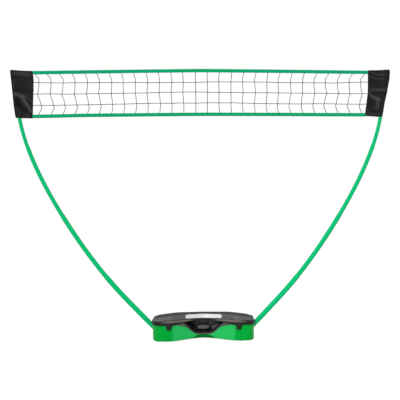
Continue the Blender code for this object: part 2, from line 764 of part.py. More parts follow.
def make_pole(side, paint, plastic, elastic, body):
    """Four tubes that plug into each other, with a foot plug, a tip cap and the cord inside."""
    route = pole_route()
    points, lengths = route
    joints = [lengths[64 * i] for i in range(5)]
    label = side_name(side)
    foot = -SOCKET_DEPTH + GAP
    flange = 0.002
    for i, radius in enumerate(POLE_RADII):
        start = joints[i] - PLUG_OVERLAP if i else foot + flange + GAP
        first = PLUG_OVERLAP if i else -start
        end = joints[i + 1] if i < 3 else joints[4] - 0.006
        last = PLUG_OVERLAP if i < 3 else 0.0
        stations = section_stations(start, end, first, last)
        bore = POLE_RADII[i + 1] + GAP if i < 3 else radius - POLE_WALL
        outer = [(s, radius) for s in stations]
        inner = [(s, bore) for s in reversed(stations)]
        shape = bmesh.new()
        loft(shape, pole_rings(route, side, outer + inner), closed=True)
        add_piece(f"pole_{label}_section_{i + 1}", shape, paint, body)

    stem = POLE_RADII[1]
    plug = ((foot, POLE_RADII[0] - 0.001), (foot + 0.001, POLE_RADII[0]), (foot + flange, POLE_RADII[0]),
            (foot + flange, stem), (foot + 0.018, stem), (foot + 0.020, stem - 0.002))
    shape = bmesh.new()
    capped_loft(shape, pole_rings(route, side, plug))
    add_piece(f"pole_{label}_foot_plug", shape, plastic, body)

    tip = joints[4] - 0.0001
    head = POLE_RADII[3]
    stem = head - POLE_WALL - GAP
    cap = ((tip - 0.024, stem - 0.001), (tip - 0.022, stem), (tip - 0.0056, stem), (tip - 0.0056, head),
           (tip - 0.003, head), (tip - 0.001, head * 0.8), (tip, head * 0.4))
    shape = bmesh.new()
    capped_loft(shape, pole_rings(route, side, cap))
    add_piece(f"pole_{label}_tip_cap", shape, plastic, body)

    curve = bpy.data.curves.new(f"shock_cord_{label}", "CURVE")
    curve.dimensions = "3D"
    curve.bevel_depth = CORD_RADIUS
    curve.bevel_resolution = 2
    curve.use_fill_caps = True
    spline = curve.splines.new("POLY")
    steps = 24
    spline.points.add(steps)
    low, high = foot + 0.020 + GAP, tip - 0.024 - GAP
    for i in range(steps + 1):
        centre, _ = pole_point(route, side, low + (high - low) * i / steps)
        spline.points[i].co = (*(centre - body.location), 1.0)
    cord = bpy.data.objects.new(curve.name, curve)
    bpy.context.collection.objects.link(cord)
    cord.parent = body
    cord.data.materials.append(elastic)


def bowed(line, x):
    """Height of a bowed line of the net, given as its end height and its rise in the middle."""
    return line[0] + line[1] * (1 - (abs(x) / NET_HALF_WIDTH) ** NET_BOW_POWER)


def sleeve_edge(edges, height):
    """X of a sleeve's edge at a height, from its values at the bottom and the top."""
    share = (height - SLEEVE_BOTTOM) / (SLEEVE_TOP - SLEEVE_BOTTOM)
    return edges[0] + (edges[1] - edges[0]) * share


def make_tape(name, line, slot_up, material, body):
    """A folded tape with a slot along one edge that takes the ends of the strands."""
    full, bevel = TAPE_HALF_THICKNESS, 0.0012
    slot, floor = SLOT_HALF_WIDTH, SLOT_DEPTH
    outline = ((-full, 0), (-slot, 0), (-slot, floor), (slot, floor), (slot, 0), (full, 0),
               (full, TAPE_HEIGHT - bevel), (full - bevel, TAPE_HEIGHT),
               (bevel - full, TAPE_HEIGHT), (-full, TAPE_HEIGHT - bevel))
    end = sleeve_edge(SLEEVE_INNER, line[0]) - 0.0012
    steps = 14
    rings = []
    for i in range(steps + 1):
        x = end * (2 * i / steps - 1)
        height = bowed(line, x)
        rings.append([(x, y, height + (TAPE_HEIGHT - z if slot_up else z - TAPE_HEIGHT))
                      for y, z in outline])
    shape = bmesh.new()
    capped_loft(shape, rings)
    add_piece(name, shape, material, body)


def square_ring(shape, centre, half, across):
    """Four vertices round a strand that runs along Z, or along X when it runs across."""
    ring = []
    for a, b in ((-1, -1), (1, -1), (1, 1), (-1, 1)):
        offset = Vector((0, a * half, b * half)) if across else Vector((a * half, b * half, 0))
        ring.append(shape.verts.new(centre + offset))
    return ring


def knot(shape, centre):
    """A small block where two strands cross. Returns its corners by sign."""
    corners = {}
    for signs in ((a, b, c) for a in (-1, 1) for b in (-1, 1) for c in (-1, 1)):
        corners[signs] = shape.verts.new(centre + KNOT_HALF * Vector(signs))
    for b in (-1, 1):
        shape.faces.new([corners[s] for s in ((-1, b, -1), (1, b, -1), (1, b, 1), (-1, b, 1))])
    return corners


def knot_side(corners, axis, sign):
    """The four corners on a knot's left, right, lower or upper side, in a strand's order."""
    order = ((-1, -1), (1, -1), (1, 1), (-1, 1))
    if axis == "x":
        return [corners[(sign, a, b)] for a, b in order]
    return [corners[(a, b, sign)] for a, b in order]


def join_rings(shape, rings):
    """Skins a strand through its rings of four vertices."""
    for first, second in zip(rings, rings[1:]):
        for i in range(4):
            j = (i + 1) % 4
            shape.faces.new((first[i], first[j], second[j], second[i]))


def make_net(material, body):
    """The open mesh: slightly uneven strands, knotted where they cross, as one closed body."""
    uneven = random.Random(11)

    def drift(amount):
        return uneven.uniform(-amount, amount)

    shape = bmesh.new()
    columns = [(j - (NET_COLUMNS - 1) / 2) * NET_PITCH for j in range(NET_COLUMNS)]
    rows = []
    for row, line in enumerate(ROW_HEIGHTS):
        spread = (1.0, 1.0, 0.995)[row]
        centres = [Vector((x * spread + drift(0.004), drift(0.002), bowed(line, x) + drift(0.003)))
                   for x in columns]
        rows.append([(centre, knot(shape, centre)) for centre in centres])

    def strand_middle(start, end, share, bulge, across):
        centre = start.lerp(end, share)
        centre += Vector((0 if across else bulge, 0, bulge if across else 0))
        return square_ring(shape, centre, STRAND_HALF, across)

    for j, x in enumerate(columns):
        top_x = x * TOP_LEAN + drift(0.003)
        top = Vector((top_x, 0, bowed(TOP_TAPE_LINE, top_x) - TAPE_HEIGHT + 0.009))
        low_x = rows[2][j][0].x + drift(0.003)
        low = Vector((low_x, 0, bowed(BOTTOM_TAPE_LINE, low_x) + TAPE_HEIGHT - 0.009))
        inward = -x / NET_HALF_WIDTH
        centres = [top] + [rows[k][j][0] for k in range(3)] + [low]
        bulges = (0.0, 0.003 * inward, 0.003 * inward, 0.010 * inward)
        ends = (square_ring(shape, top, STRAND_HALF, False), square_ring(shape, low, STRAND_HALF, False))
        shape.faces.new(ends[0])
        shape.faces.new(ends[1])
        for k in range(4):
            first = ends[0] if k == 0 else knot_side(rows[k - 1][j][1], "z", -1)
            last = ends[1] if k == 3 else knot_side(rows[k][j][1], "z", 1)
            bulge = bulges[k] + drift(0.003)
            middle = [strand_middle(centres[k], centres[k + 1], share, bulge, False)
                      for share in (0.3, 0.7)]
            join_rings(shape, [first] + middle + [last])

    for row in rows:
        for (start, left), (end, right) in zip(row, row[1:]):
            middle = strand_middle(start, end, 0.5, drift(0.002), True)
            join_rings(shape, [knot_side(left, "x", 1), middle, knot_side(right, "x", -1)])
        for side, (centre, corners) in ((-1, row[0]), (1, row[-1])):
            reach = sleeve_edge(SLEEVE_INNER, centre.z) - 0.0012
            end = square_ring(shape, Vector((side * reach, 0, centre.z)), STRAND_HALF, True)
            shape.faces.new(end)
            join_rings(shape, [knot_side(corners, "x", side), end])
    add_piece("net_mesh", shape, material, body)


def sleeve_row(route, side, height):
    """One level of a sleeve: the bulge round the pole, a seam outside and a flat panel inside."""
    points = route[0]
    centre = point_at_height(points, height)
    outer = sleeve_edge(SLEEVE_OUTER, height)
    inner = sleeve_edge(SLEEVE_INNER, height)
    level = (height - SLEEVE_BOTTOM) / (SLEEVE_TOP - SLEEVE_BOTTOM)
    front = [(max(outer, centre + SLEEVE_BULGE + 0.002), 0.0, SLEEVE_HALF_FLAT)]
    for angle in (20, 55, 90, 125, 160):
        turn = math.radians(angle)
        thick = max(SLEEVE_HALF_FLAT, SLEEVE_BULGE * math.sin(turn))
        front.append((centre + SLEEVE_BULGE * math.cos(turn), 0.0, thick))
    panel_start = centre - SLEEVE_BULGE - 0.006
    for i in range(6):
        share = i / 5
        x = panel_start + (inner - panel_start) * share
        fold = SLEEVE_FOLD * math.sin(math.pi * share) * math.sin(5.5 * level + 4.0 * share + 1.1 * side)
        front.append((x, fold, SLEEVE_HALF_FLAT))
    ring = [(side * x, fold - thick, height) for x, fold, thick in front]
    ring += [(side * x, fold + thick, height) for x, fold, thick in reversed(front)]
    return ring


def point_at_height(points, height):
    """X of the pole's centreline at a height, carried on straight past the tip."""
    for first, second in zip(points, points[1:]):
        if first.z <= height <= second.z:
            return first.lerp(second, (height - first.z) / (second.z - first.z)).x
    step = points[-1] - points[-2]
    return points[-1].x + step.x / step.z * (height - points[-1].z)


def make_sleeve(side, material, body):
    """A fabric pocket that is open below and stitched shut above the pole's tip."""
    route = pole_route()
    shape = bmesh.new()
    heights = [SLEEVE_BOTTOM + (SLEEVE_TOP - SLEEVE_BOTTOM) * i / SLEEVE_LEVELS
               for i in range(SLEEVE_LEVELS + 1)]
    capped_loft(shape, [sleeve_row(route, side, height) for height in heights])
    sleeve = add_piece(f"net_sleeve_{side_name(side)}", shape, material, body, sharp_degrees=60)
    pocket = bmesh.new()
    rings = []
    for height in [SLEEVE_BOTTOM - 0.02] + heights[1:-1] + [POLE_ROUTE[-1][1] + 0.002]:
        centre = side * point_at_height(route[0], height)
        rings.append([(x, y, height) for x, y in circle_points((centre, 0), SLEEVE_POCKET, 0, 330, 11)])
    capped_loft(pocket, rings)
    combine(sleeve, pocket, "DIFFERENCE")


def build():
    """Clears the scene and builds every piece under the empty of its body."""
    for old in list(bpy.data.objects):
        bpy.data.objects.remove(old)

    tub_green = finish("tub_green_plastic", "#12ae48", 0.42)
    lid_grey = finish("lid_grey_plastic", "#5f5f60", 0.50)
    label_white = finish("label_white_plate", "#f2f2f0", 0.35)
    trim_black = finish("trim_black_plastic", "#2b2b2e", 0.45)
    grip_rubber = finish("grip_rubber", "#4b4a4f", 0.75)
    foot_rubber = finish("foot_rubber", "#1d1d1e", 0.85)
    pin_steel = finish("pin_steel", "#b8babd", 0.30, 1.0)
    pole_green = finish("pole_green_gloss", "#12c878", 0.22)
    tape_green = finish("tape_green_webbing", "#12ae72", 0.80)
    net_black = finish("net_black_cord", "#2c2e2e", 0.80)
    sleeve_black = finish("sleeve_black_fabric", "#242424", 0.85)
    elastic = finish("elastic_cord", "#202020", 0.80)

    base = joint_empty("base_body", Vector((0, 0, 0)))
    lid = joint_empty("lid_body", Vector((0, HINGE_AXIS.x, HINGE_AXIS.y)))
    handle = joint_empty("handle_body", Vector((0, HANDLE_AXIS.x, HANDLE_AXIS.y)))
    net = joint_empty("net_body", Vector((0, 0, TOP_TAPE_LINE[0])))

    make_tub(tub_green, base)
    make_feet(foot_rubber, base)
    make_handle_housing(trim_black, base)
    make_hinge_pins(pin_steel, base)
    make_lid(lid_grey, lid)
    make_label(label_white, lid)
    make_handle(trim_black, grip_rubber, pin_steel, base, handle)
    for side, centre in zip((-1, 1), LATCH_CENTRES):
        latch = joint_empty(f"latch_body_{side_name(side)}", Vector((centre, *LATCH_AXIS)))
        make_latch(side, centre, trim_black, pin_steel, lid, latch)
        make_socket(side, trim_black, base)
        pole = joint_empty(f"pole_body_{side_name(side)}", socket_frame(side)[0])
        make_pole(side, pole_green, trim_black, elastic, pole)
        make_sleeve(side, sleeve_black, net)
    make_net(net_black, net)
    make_tape("net_top_tape", TOP_TAPE_LINE, False, tape_green, net)
    make_tape("net_bottom_tape", BOTTOM_TAPE_LINE, True, tape_green, net)


build()
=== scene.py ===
"""A badminton net set that stands on its own carry case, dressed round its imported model.

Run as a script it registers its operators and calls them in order.
Every length is in metres, the front looks along -Y and the floor is at Z = 0.
"""

import math
import random

import bmesh
import bpy
from mathutils import Matrix, Vector, noise


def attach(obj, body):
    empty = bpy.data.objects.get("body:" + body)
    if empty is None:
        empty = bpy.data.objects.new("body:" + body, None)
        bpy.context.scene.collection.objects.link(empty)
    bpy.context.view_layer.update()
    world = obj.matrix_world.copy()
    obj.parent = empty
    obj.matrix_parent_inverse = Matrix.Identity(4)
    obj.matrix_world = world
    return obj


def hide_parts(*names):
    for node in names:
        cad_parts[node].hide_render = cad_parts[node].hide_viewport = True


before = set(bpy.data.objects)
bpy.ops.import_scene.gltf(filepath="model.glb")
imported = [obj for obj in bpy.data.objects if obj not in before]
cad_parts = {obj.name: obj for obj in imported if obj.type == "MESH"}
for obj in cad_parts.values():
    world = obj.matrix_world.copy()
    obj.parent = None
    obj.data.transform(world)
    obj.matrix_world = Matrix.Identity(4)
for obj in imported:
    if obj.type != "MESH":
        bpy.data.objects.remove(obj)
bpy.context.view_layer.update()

bl_info = {
    "name": "Badminton Net Set",
    "version": (1, 0, 0),
    "blender": (4, 5, 0),
    "location": "3D View > Sidebar > Net Set",
    "description": "Builds a badminton net on bowed poles that stand in its carry case",
    "category": "Object",
}

# Plan of the case: two flat end blocks with a waist between them
CASE_LENGTH = 0.741
CASE_DEPTH = 0.260
WAIST_HALF_WIDTH = 0.225
WAIST_DEPTH = 0.085
WAIST_POWER = 1.4
WAIST_EDGE = 0.0015
FRONT_CORNER = Vector((0.0555, 0.080))
REAR_CORNER = Vector((0.050, 0.050))
WAIST_STEPS = 28
CORNER_STEPS = 10
END_STEPS = 6

TUB_BOTTOM = 0.0045
TUB_RIM = 0.1350
TUB_WALL = 0.003
TUB_ARCH = 0.0075
ARCH_BACK = 0.030
WAIST_RIM = 0.125
NOTCH_BOTTOM = 0.046
NOTCH_INNER = 0.030
NOTCH_OUTER = 0.155
NOTCH_POWER = 1.25

LID_OVERHANG = 0.007
LID_WALL = 0.0025
SKIRT_BOTTOM = 0.1215
SKIRT_ARCH_HALF_WIDTH = 0.225
SKIRT_ARCH_TOP = 0.1455
SKIRT_ARCH_POWER = 2.5
CROWN_RISE = 0.0175
CROWN_HALF_LENGTH = 0.357
CROWN_POWER = 2.6
CROWN_DOME = 0.004
SLOPE_FOOT = 0.1385
SLOPE_RISE = 0.0150
FRONT_RISE = 0.0195
POLE_NOTCH_HEIGHT = 0.111
POLE_NOTCH_RADIUS = 0.0205

LABEL_LENGTH = 0.266
LABEL_FIRST = 0.14
LABEL_LAST = 0.93
LABEL_THICKNESS = 0.0015
LABEL_GAP = 0.0003

# Axes as (Y, Z), and the radius of the bore for each pin
HINGE_AXIS = Vector((0.144, 0.124))
HINGE_CENTRES = (-0.22, 0.22)
HINGE_BORE = 0.0024
KNUCKLE_RADIUS = 0.0055
LATCH_AXIS = Vector((-0.144, 0.131))
LATCH_CENTRES = (-0.2525, 0.2525)
LATCH_BORE = 0.0019
LATCH_HALF_WIDTH = 0.020
LATCH_LENGTH = 0.041
LATCH_TAPER = 0.24
HANDLE_AXIS = Vector((-0.021, 0.120))
HANDLE_BORE = 0.0034
HANDLE_REACH = 0.032
ARM_INNER = 0.040
ARM_OUTER = 0.047
ARM_RADIUS = 0.007
BAR_RADIUS = 0.006
GRIP_MIDDLE = 0.0175
GRIP_END = 0.0125
RECESS_HALF_WIDTH = 0.140
RECESS_BACK_HALF_WIDTH = 0.085
RECESS_BACK = 0.012
RECESS_LIP = 0.010
HOUSING_WALL = 0.0025
HOUSING_TOP = 0.139
HOUSING_RISE = 0.008
FOOT_PLACES = ((-0.27, -0.098), (0.27, -0.098), (-0.27, 0.098), (0.27, 0.098))
FOOT_HOLE = 0.0044

# Pole route on the +X side as (X, Z, lean in degrees) at the socket's mouth, the joints and the tip.
# All places along a pole are distances from that mouth, negative inside the socket.
POLE_ROUTE = (
    (0.3705, 0.095, 43.5),
    (0.7075, 0.459, 39.4),
    (1.0280, 0.915, 31.4),
    (1.2807, 1.427, 19.8),
    (1.3850, 1.975, 7.0),
)
ROUTE_STEPS = 64
POLE_RADII = (0.0172, 0.0154, 0.0136, 0.0118)
POLE_WALL = 0.0017
POLE_FOOT = -0.0922
PLUG_OVERLAP = 0.060

# The tubes are drawn fuller in the open, where thin edges fade against the white. They keep the
# packed radius as far as 30 mm from the socket's mouth, and where the sleeve covers them.
POLE_SWELL = 0.0018
SWELL_START = 0.030
SWELL_STEP = 0.030
SLEEVED_LENGTH = 0.330
SLEEVED_STEP = 0.020

# Lines of the net as their height at the ends and their rise in the middle. A row's pull is how
# many pixels its ends are drawn in. The strands' ends fan out by the two leans, and the rows and
# tapes reach a little into the sleeves.
NET_COLUMNS = 28
NET_PITCH = 0.0884
NET_HALF_WIDTH = 1.240
NET_BOW_POWER = 1.2
NET_REACH = 0.0015
ROW_LINES = ((1.8885, 0.0080), (1.8080, 0.0140), (1.7270, 0.0150))
ROW_PULLS = (0.0, -1.0, 2.0)
ROW_RISE = 0.0065
TOP_LEAN = 1.026
BOTTOM_LEAN = 1.006
TAPE_HEIGHT = 0.0230
TOP_TAPE_LINE = (1.979, 0.0145)
BOTTOM_TAPE_LINE = (1.638, 0.008)

SLEEVE_BOTTOM = 1.636
SLEEVE_TOP = 1.984
SLEEVE_CLEARANCE = 0.0150

# Each sleeve's sides, by level from hem to top, as X of the inner and of the outer edge, and the
# heights of its hem and its top edge at the outer and at the inner end
SLEEVE_EDGES = {
    -1: ((0.0, 1.2389, 1.3655), (0.27, 1.2367, 1.3785), (0.44, 1.2345, 1.3835),
         (0.69, 1.2315, 1.3915), (0.80, 1.2310, 1.3955), (1.0, 1.2365, 1.4020)),
    1: ((0.0, 1.2180, 1.3440), (0.14, 1.2253, 1.3568), (0.36, 1.2353, 1.3750),
        (0.51, 1.2422, 1.3873), (0.66, 1.2437, 1.3968), (0.80, 1.2440, 1.4058),
        (0.92, 1.2443, 1.4100), (1.0, 1.2443, 1.4095)),
}
SLEEVE_SLANT = {-1: ((1.6360, 1.6318), (1.9862, 1.9800)), 1: ((1.6338, 1.6405), (1.9860, 1.9815))}

# One pixel of the picture at the net's own distance, and the pixel in the middle
PIXEL = 0.0074
PICTURE_MIDDLE = 200

# The picture's camera stands a little left of the middle, with angles in degrees. The zoom is the
# lens in millimetres for each metre of distance.
CAMERA_HEIGHT = 1.024
CAMERA_AZIMUTH = 2.22
CAMERA_YAW = 2.04
CAMERA_ROLL = -0.44
CAMERA_ZOOM = 63.25 / 5.2


def srgb(colour):
    """Turns an sRGB hex colour into the linear values that a shader takes."""
    channels = [int(colour[i:i + 2], 16) / 255 for i in (1, 3, 5)]
    return [c / 12.92 if c <= 0.04045 else ((c + 0.055) / 1.055) ** 2.4 for c in channels]


def colour_setting(name, description, colour):
    return bpy.props.FloatVectorProperty(
        name=name, description=description, subtype="COLOR", size=3, min=0.0, max=1.0,
        default=srgb(colour))


def length_setting(name, description, length, least, most):
    return bpy.props.FloatProperty(name=name, description=description, default=length, min=least,
                                   max=most, unit="LENGTH", subtype="DISTANCE")


class NetSetSizes(bpy.types.PropertyGroup):
    """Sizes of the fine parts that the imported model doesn't fix."""
    strand_radius: length_setting(
        "Strand radius", "Half the thickness of the net's cord", 0.0024, 0.0005, 0.003)
    knot_radius: length_setting(
        "Knot radius", "Half the width of a knot in the net", 0.0036, 0.001, 0.005)
    pole_sides: bpy.props.IntProperty(
        name="Pole sides", description="Faces round each pole", default=32, min=12, max=64)
    sleeve_fabric: length_setting(
        "Sleeve fabric", "Thickness of the sleeves' fabric", 0.0009, 0.0003, 0.0015)
    rounding: length_setting(
        "Edge rounding", "Radius of the moulded parts' edges", 0.0007, 0.0002, 0.0012)
    camera_distance: length_setting(
        "Camera distance", "How far the camera stands in front of the net", 5.2, 3.0, 9.0)


class NetSetColours(bpy.types.PropertyGroup):
    """Colours of the materials."""
    tub: colour_setting("Tub", "Green of the tub's end blocks", "#04a236")
    # Painted reflection: the waist's paler green stands in for light reflected off its front
    tub_waist_reflection: colour_setting("Tub waist", "Paler green of the tub's textured waist", "#28bb5c")
    lid: colour_setting("Lid", "Grey of the case's lid", "#565657")
    label: colour_setting("Label", "White of the label plate", "#e2e2e0")
    trim: colour_setting("Trim", "Near-black of the handle housing and latches", "#1e1a1b")
    grip: colour_setting("Grip", "Dark grey of the handle's grip", "#4b4a4f")
    pole: colour_setting("Poles", "Green of the poles", "#08bd72")
    tape: colour_setting("Tapes", "Green of the net's tapes", "#12b277")
    cord: colour_setting("Net", "Black of the net's cord", "#141515")
    sleeve: colour_setting("Sleeves", "Black of the sleeves' fabric", "#1d1c1c")


# Materials

def set_up(tree, node, settings):
    """Sets a node's properties and sockets. Where a value is another node or one of its outputs,
    it is linked: a node gives its factor, its mixed colour or else its first output."""
    for key, value in settings.items():
        if isinstance(value, bpy.types.Node):
            mixed = 2 if value.bl_idname == "ShaderNodeMix" else 0
            value = value.outputs.get("Fac") or value.outputs[mixed]
        if isinstance(value, bpy.types.NodeSocket):
            tree.links.new(value, node.inputs[key])
        elif isinstance(key, int) or key in node.inputs:
            node.inputs[key].default_value = value
        else:
            setattr(node, key, value)
    return node


def add_node(tree, kind, settings):
    """Adds a shader node with its settings and links."""
    return set_up(tree, tree.nodes.new("ShaderNode" + kind), settings)


def new_material(name):
    """A Principled material with its tree, its shader and its Object coordinates."""
    material = bpy.data.materials.new(name)
    material.use_nodes = True
    tree = material.node_tree
    place = add_node(tree, "TexCoord", {}).outputs["Object"]
    return material, tree, tree.nodes["Principled BSDF"], place


def tint(colour, factor=1.0):
    """A colour made lighter or darker, as a shader takes it."""
    return [min(1.0, c * factor) for c in colour] + [1.0]


def two_toned(name, pattern, tones, roughness, relief=None, stretch=None, constants=None):
    """A finish that wanders between two tones, and between two roughnesses where it has them, in
    one pattern. Its relief has another pattern or the same one, with a strength and a depth."""
    material, tree, shader, place = new_material(name)
    if stretch:
        place = add_node(tree, "Mapping", {"Scale": stretch, "Vector": place})
    kind, settings = pattern
    tone = add_node(tree, kind, {**settings, "Vector": place})
    looks = {"Base Color": add_node(tree, "Mix", {"data_type": "RGBA", 0: tone, 6: tones[0],
                                                  7: tones[1]})}
    if isinstance(roughness, tuple):
        low, high = roughness
        looks["Roughness"] = add_node(tree, "MapRange", {0: tone, 3: low, 4: high})
    else:
        looks["Roughness"] = roughness
    if relief:
        other, strength, depth = relief
        if other:
            tone = add_node(tree, other[0], {**other[1], "Vector": place})
        looks["Normal"] = add_node(tree, "Bump", {"Strength": strength, "Distance": depth,
                                                  "Height": tone})
    set_up(tree, shader, {**looks, **(constants or {})})
    return material


def moulded_tub_plastic(colours):
    """Injection-moulded polypropylene: deep green with a soft gloss, paler at the front of the waist
    with a painted reflection, and darker with painted shade where the waist curls under. The real
    grain is about 0.3 mm and is drawn at 1.2 mm, because a finer one can't show."""
    material, tree, shader, place = new_material("moulded_polypropylene_green")
    cloud = add_node(tree, "TexNoise", {"Scale": 5.0, "Detail": 3.0, "Roughness": 0.5,
                                        "Vector": place})
    block = add_node(tree, "Mix", {"data_type": "RGBA", 0: cloud, 6: tint(colours.tub, 0.90),
                                   7: tint(colours.tub, 1.10)})
    # Painted reflection: the front of the waist is mixed to a paler green
    waist_reflection = add_node(tree, "Mix", {"data_type": "RGBA", 0: cloud, 6: tint(colours.tub_waist_reflection, 0.92),
                                  7: tint(colours.tub_waist_reflection, 1.08)})
    waist = add_node(tree, "Attribute", {"attribute_name": "waist"})
    front = add_node(tree, "Mix", {"data_type": "RGBA", 0: waist, 6: block, 7: waist_reflection})
    # Painted shade: low on the front, where the waist curls under, the green darkens
    painted_underside_shade = add_node(tree, "Attribute", {"attribute_name": "painted_underside_shade"})
    underside_shade = add_node(tree, "MapRange", {0: painted_underside_shade, 1: -0.003, 2: 0.003})
    blend = add_node(tree, "Mix", {"data_type": "RGBA", 0: underside_shade, 6: front,
                                   7: tint(colours.tub, 0.38)})
    grain = add_node(tree, "TexNoise", {"Scale": 800.0, "Detail": 1.0, "Vector": place})
    scuff = add_node(tree, "TexNoise", {"Scale": 26.0, "Detail": 5.0, "Roughness": 0.65,
                                        "Vector": place})
    rough = add_node(tree, "MapRange", {0: scuff, 3: 0.38, 4: 0.54})
    bump = add_node(tree, "Bump", {"Strength": 0.12, "Distance": 0.0002, "Height": grain})
    set_up(tree, shader, {"Base Color": blend, "Roughness": rough, "Normal": bump,
                          "Specular IOR Level": 0.25, "Specular Tint": (0.05, 1.0, 0.35, 1.0)})
    return material


def moulded_lid_plastic(colours):
    """Talc-filled polypropylene: dark grey with wavy flow streaks along the case, a blunter crest
    darkened by painted shade, and a rim painted near-black as shade with a band of painted highlight
    over the waist. The real streaks are about 2 mm high and are drawn at 6 mm, so that they show."""
    material, tree, shader, place = new_material("moulded_polypropylene_grey")
    bend = add_node(tree, "TexNoise", {"Scale": 7.0, "Detail": 1.0, "Vector": place})
    shifted = add_node(tree, "VectorMath", {"operation": "MULTIPLY_ADD", 0: bend.outputs["Color"],
                                            1: (0, 0, 0.03), 2: place})
    stretched = add_node(tree, "Mapping", {"Scale": (9.0, 40.0, 165.0), "Vector": shifted})
    streak = add_node(tree, "TexNoise", {"Scale": 1.0, "Detail": 3.0, "Roughness": 0.6,
                                         "Vector": stretched})
    sharp = add_node(tree, "MapRange", {0: streak, 1: 0.36, 2: 0.64})
    face = add_node(tree, "Mix", {"data_type": "RGBA", 0: sharp, 6: tint(colours.lid, 0.72),
                                  7: tint(colours.lid, 1.32)})
    # Painted shade: the crest above the slope is mixed towards half the lid's grey
    above = add_node(tree, "Attribute", {"attribute_name": "crest"})
    crest = add_node(tree, "MapRange", {0: above, 1: 0.0, 2: 0.004})
    crest_painted_shade = add_node(tree, "Mix", {"data_type": "RGBA", 0: crest, 6: face, 7: tint(colours.lid, 0.50)})
    # Painted shade and highlight: the rim below the slope is painted near-black as shade, with a band of
    # painted highlight on the skirt over the waist
    below = add_node(tree, "Attribute", {"attribute_name": "rim"})
    painted_highlight = add_node(tree, "Attribute", {"attribute_name": "painted_highlight"})
    highlight_top = add_node(tree, "MapRange", {0: below, 1: 0.002, 2: 0.004})
    highlight_foot = add_node(tree, "MapRange", {0: below, 1: 0.022, 2: 0.014})
    band = add_node(tree, "Math", {"operation": "MULTIPLY", 0: highlight_top, 1: highlight_foot})
    share = add_node(tree, "Math", {"operation": "MULTIPLY", 0: band, 1: painted_highlight})
    rim = add_node(tree, "Mix", {"data_type": "RGBA", 0: share, 6: tint(srgb("#161314")),
                                 7: tint(srgb("#6a6561"))})
    edge = add_node(tree, "MapRange", {0: below, 1: -0.0008, 2: 0.0008})
    blend = add_node(tree, "Mix", {"data_type": "RGBA", 0: edge, 6: crest_painted_shade, 7: rim})
    grain = add_node(tree, "TexNoise", {"Scale": 700.0, "Detail": 1.0, "Vector": place})
    rough = add_node(tree, "MapRange", {0: crest, 3: 0.50, 4: 0.86})
    bump = add_node(tree, "Bump", {"Strength": 0.15, "Distance": 0.0002, "Height": grain})
    set_up(tree, shader, {"Base Color": blend, "Roughness": rough, "Normal": bump,
                          "Specular IOR Level": 0.18})
    return material


def label_sheet(colours):
    """White polypropylene sheet, smooth and slightly glossy, with a trace of dust."""
    return two_toned("polypropylene_sheet_white", ("TexNoise", {"Scale": 60.0, "Detail": 4.0}),
                     (tint(colours.label, 0.84), tint(colours.label, 1.04)), (0.35, 0.50))


def moulded_trim_plastic(colours):
    """Injection-moulded ABS, near black, with a leather-like texture of about 1.5 mm, and grey
    painted light on the housing's back wall and a painted highlight along its lip."""
    material, tree, shader, place = new_material("moulded_abs_black")
    cells = add_node(tree, "TexVoronoi", {"Scale": 650.0, "Vector": place})
    wear = add_node(tree, "TexNoise", {"Scale": 30.0, "Detail": 4.0, "Vector": place})
    bare_trim = add_node(tree, "Mix", {"data_type": "RGBA", 0: wear, 6: tint(colours.trim, 0.8),
                                   7: tint(colours.trim, 1.35)})
    # Painted light: grey where light falls on the recess's back wall, and along the lip
    recess_painted_light = add_node(tree, "Attribute", {"attribute_name": "recess_painted_light"})
    blend = add_node(tree, "Mix", {"data_type": "RGBA", 0: recess_painted_light, 6: bare_trim, 7: tint(srgb("#666a68"))})
    rough = add_node(tree, "MapRange", {0: wear, 3: 0.38, 4: 0.58})
    bump = add_node(tree, "Bump", {"Strength": 0.15, "Distance": 0.0002, "Height": cells})
    set_up(tree, shader, {"Base Color": blend, "Roughness": rough, "Normal": bump,
                          "Specular IOR Level": 0.18})
    return material


def moulded_grip_rubber(colours):
    """Overmoulded elastomer: dark grey, dull, with fine pores about 1 mm apart."""
    return two_toned("overmoulded_elastomer_grey", ("TexNoise", {"Scale": 45.0, "Detail": 3.0}),
                     (tint(colours.grip, 0.8), tint(colours.grip, 1.2)), (0.60, 0.78),
                     (("TexVoronoi", {"Scale": 900.0}), 0.3, 0.0003))


def moulded_foot_rubber(colours):
    """Vulcanised rubber: black, dull and dusty."""
    return two_toned("vulcanised_rubber_black", ("TexNoise", {"Scale": 220.0, "Detail": 5.0}),
                     (tint(srgb("#161616")), tint(srgb("#343332"))), (0.75, 0.92))


def drawn_pin_steel(colours):
    """Drawn steel wire, zinc plated: bright, with fine lines along each pin."""
    return two_toned("drawn_steel_zinc_plated", ("TexNoise", {"Scale": 1.0, "Detail": 2.0}),
                     (tint(srgb("#a3a6aa")), tint(srgb("#c9ccd0"))), (0.22, 0.42),
                     stretch=(40.0, 2500.0, 2500.0), constants={"Metallic": 1.0})


def lacquered_pole(colours):
    """Pultruded glass-fibre tube under green lacquer: a bright satin green with the faint ripple of
    the fibres, drawn 4 mm apart, which is coarser than the real 1 mm."""
    return two_toned("lacquered_glass_fibre_green", ("TexNoise", {"Scale": 9.0, "Detail": 3.0}),
                     (tint(colours.pole, 0.90), tint(colours.pole, 1.10)), (0.32, 0.46),
                     (("TexNoise", {"Scale": 240.0, "Detail": 1.0}), 0.05, 0.0003),
                     constants={"Specular IOR Level": 0.35,
                                "Specular Tint": (0.05, 1.0, 0.5, 1.0)})


def braided_elastic(colours):
    """Rubber core in a braided polyester cover: black with a diagonal braid of 2 mm."""
    braid = {"wave_type": "BANDS", "bands_direction": "DIAGONAL", "Scale": 160.0, "Distortion": 0.6}
    return two_toned("braided_elastic_black", ("TexWave", braid),
                     (tint(srgb("#151515")), tint(srgb("#3a3a3a"))), 0.8, (None, 0.4, 0.0004))


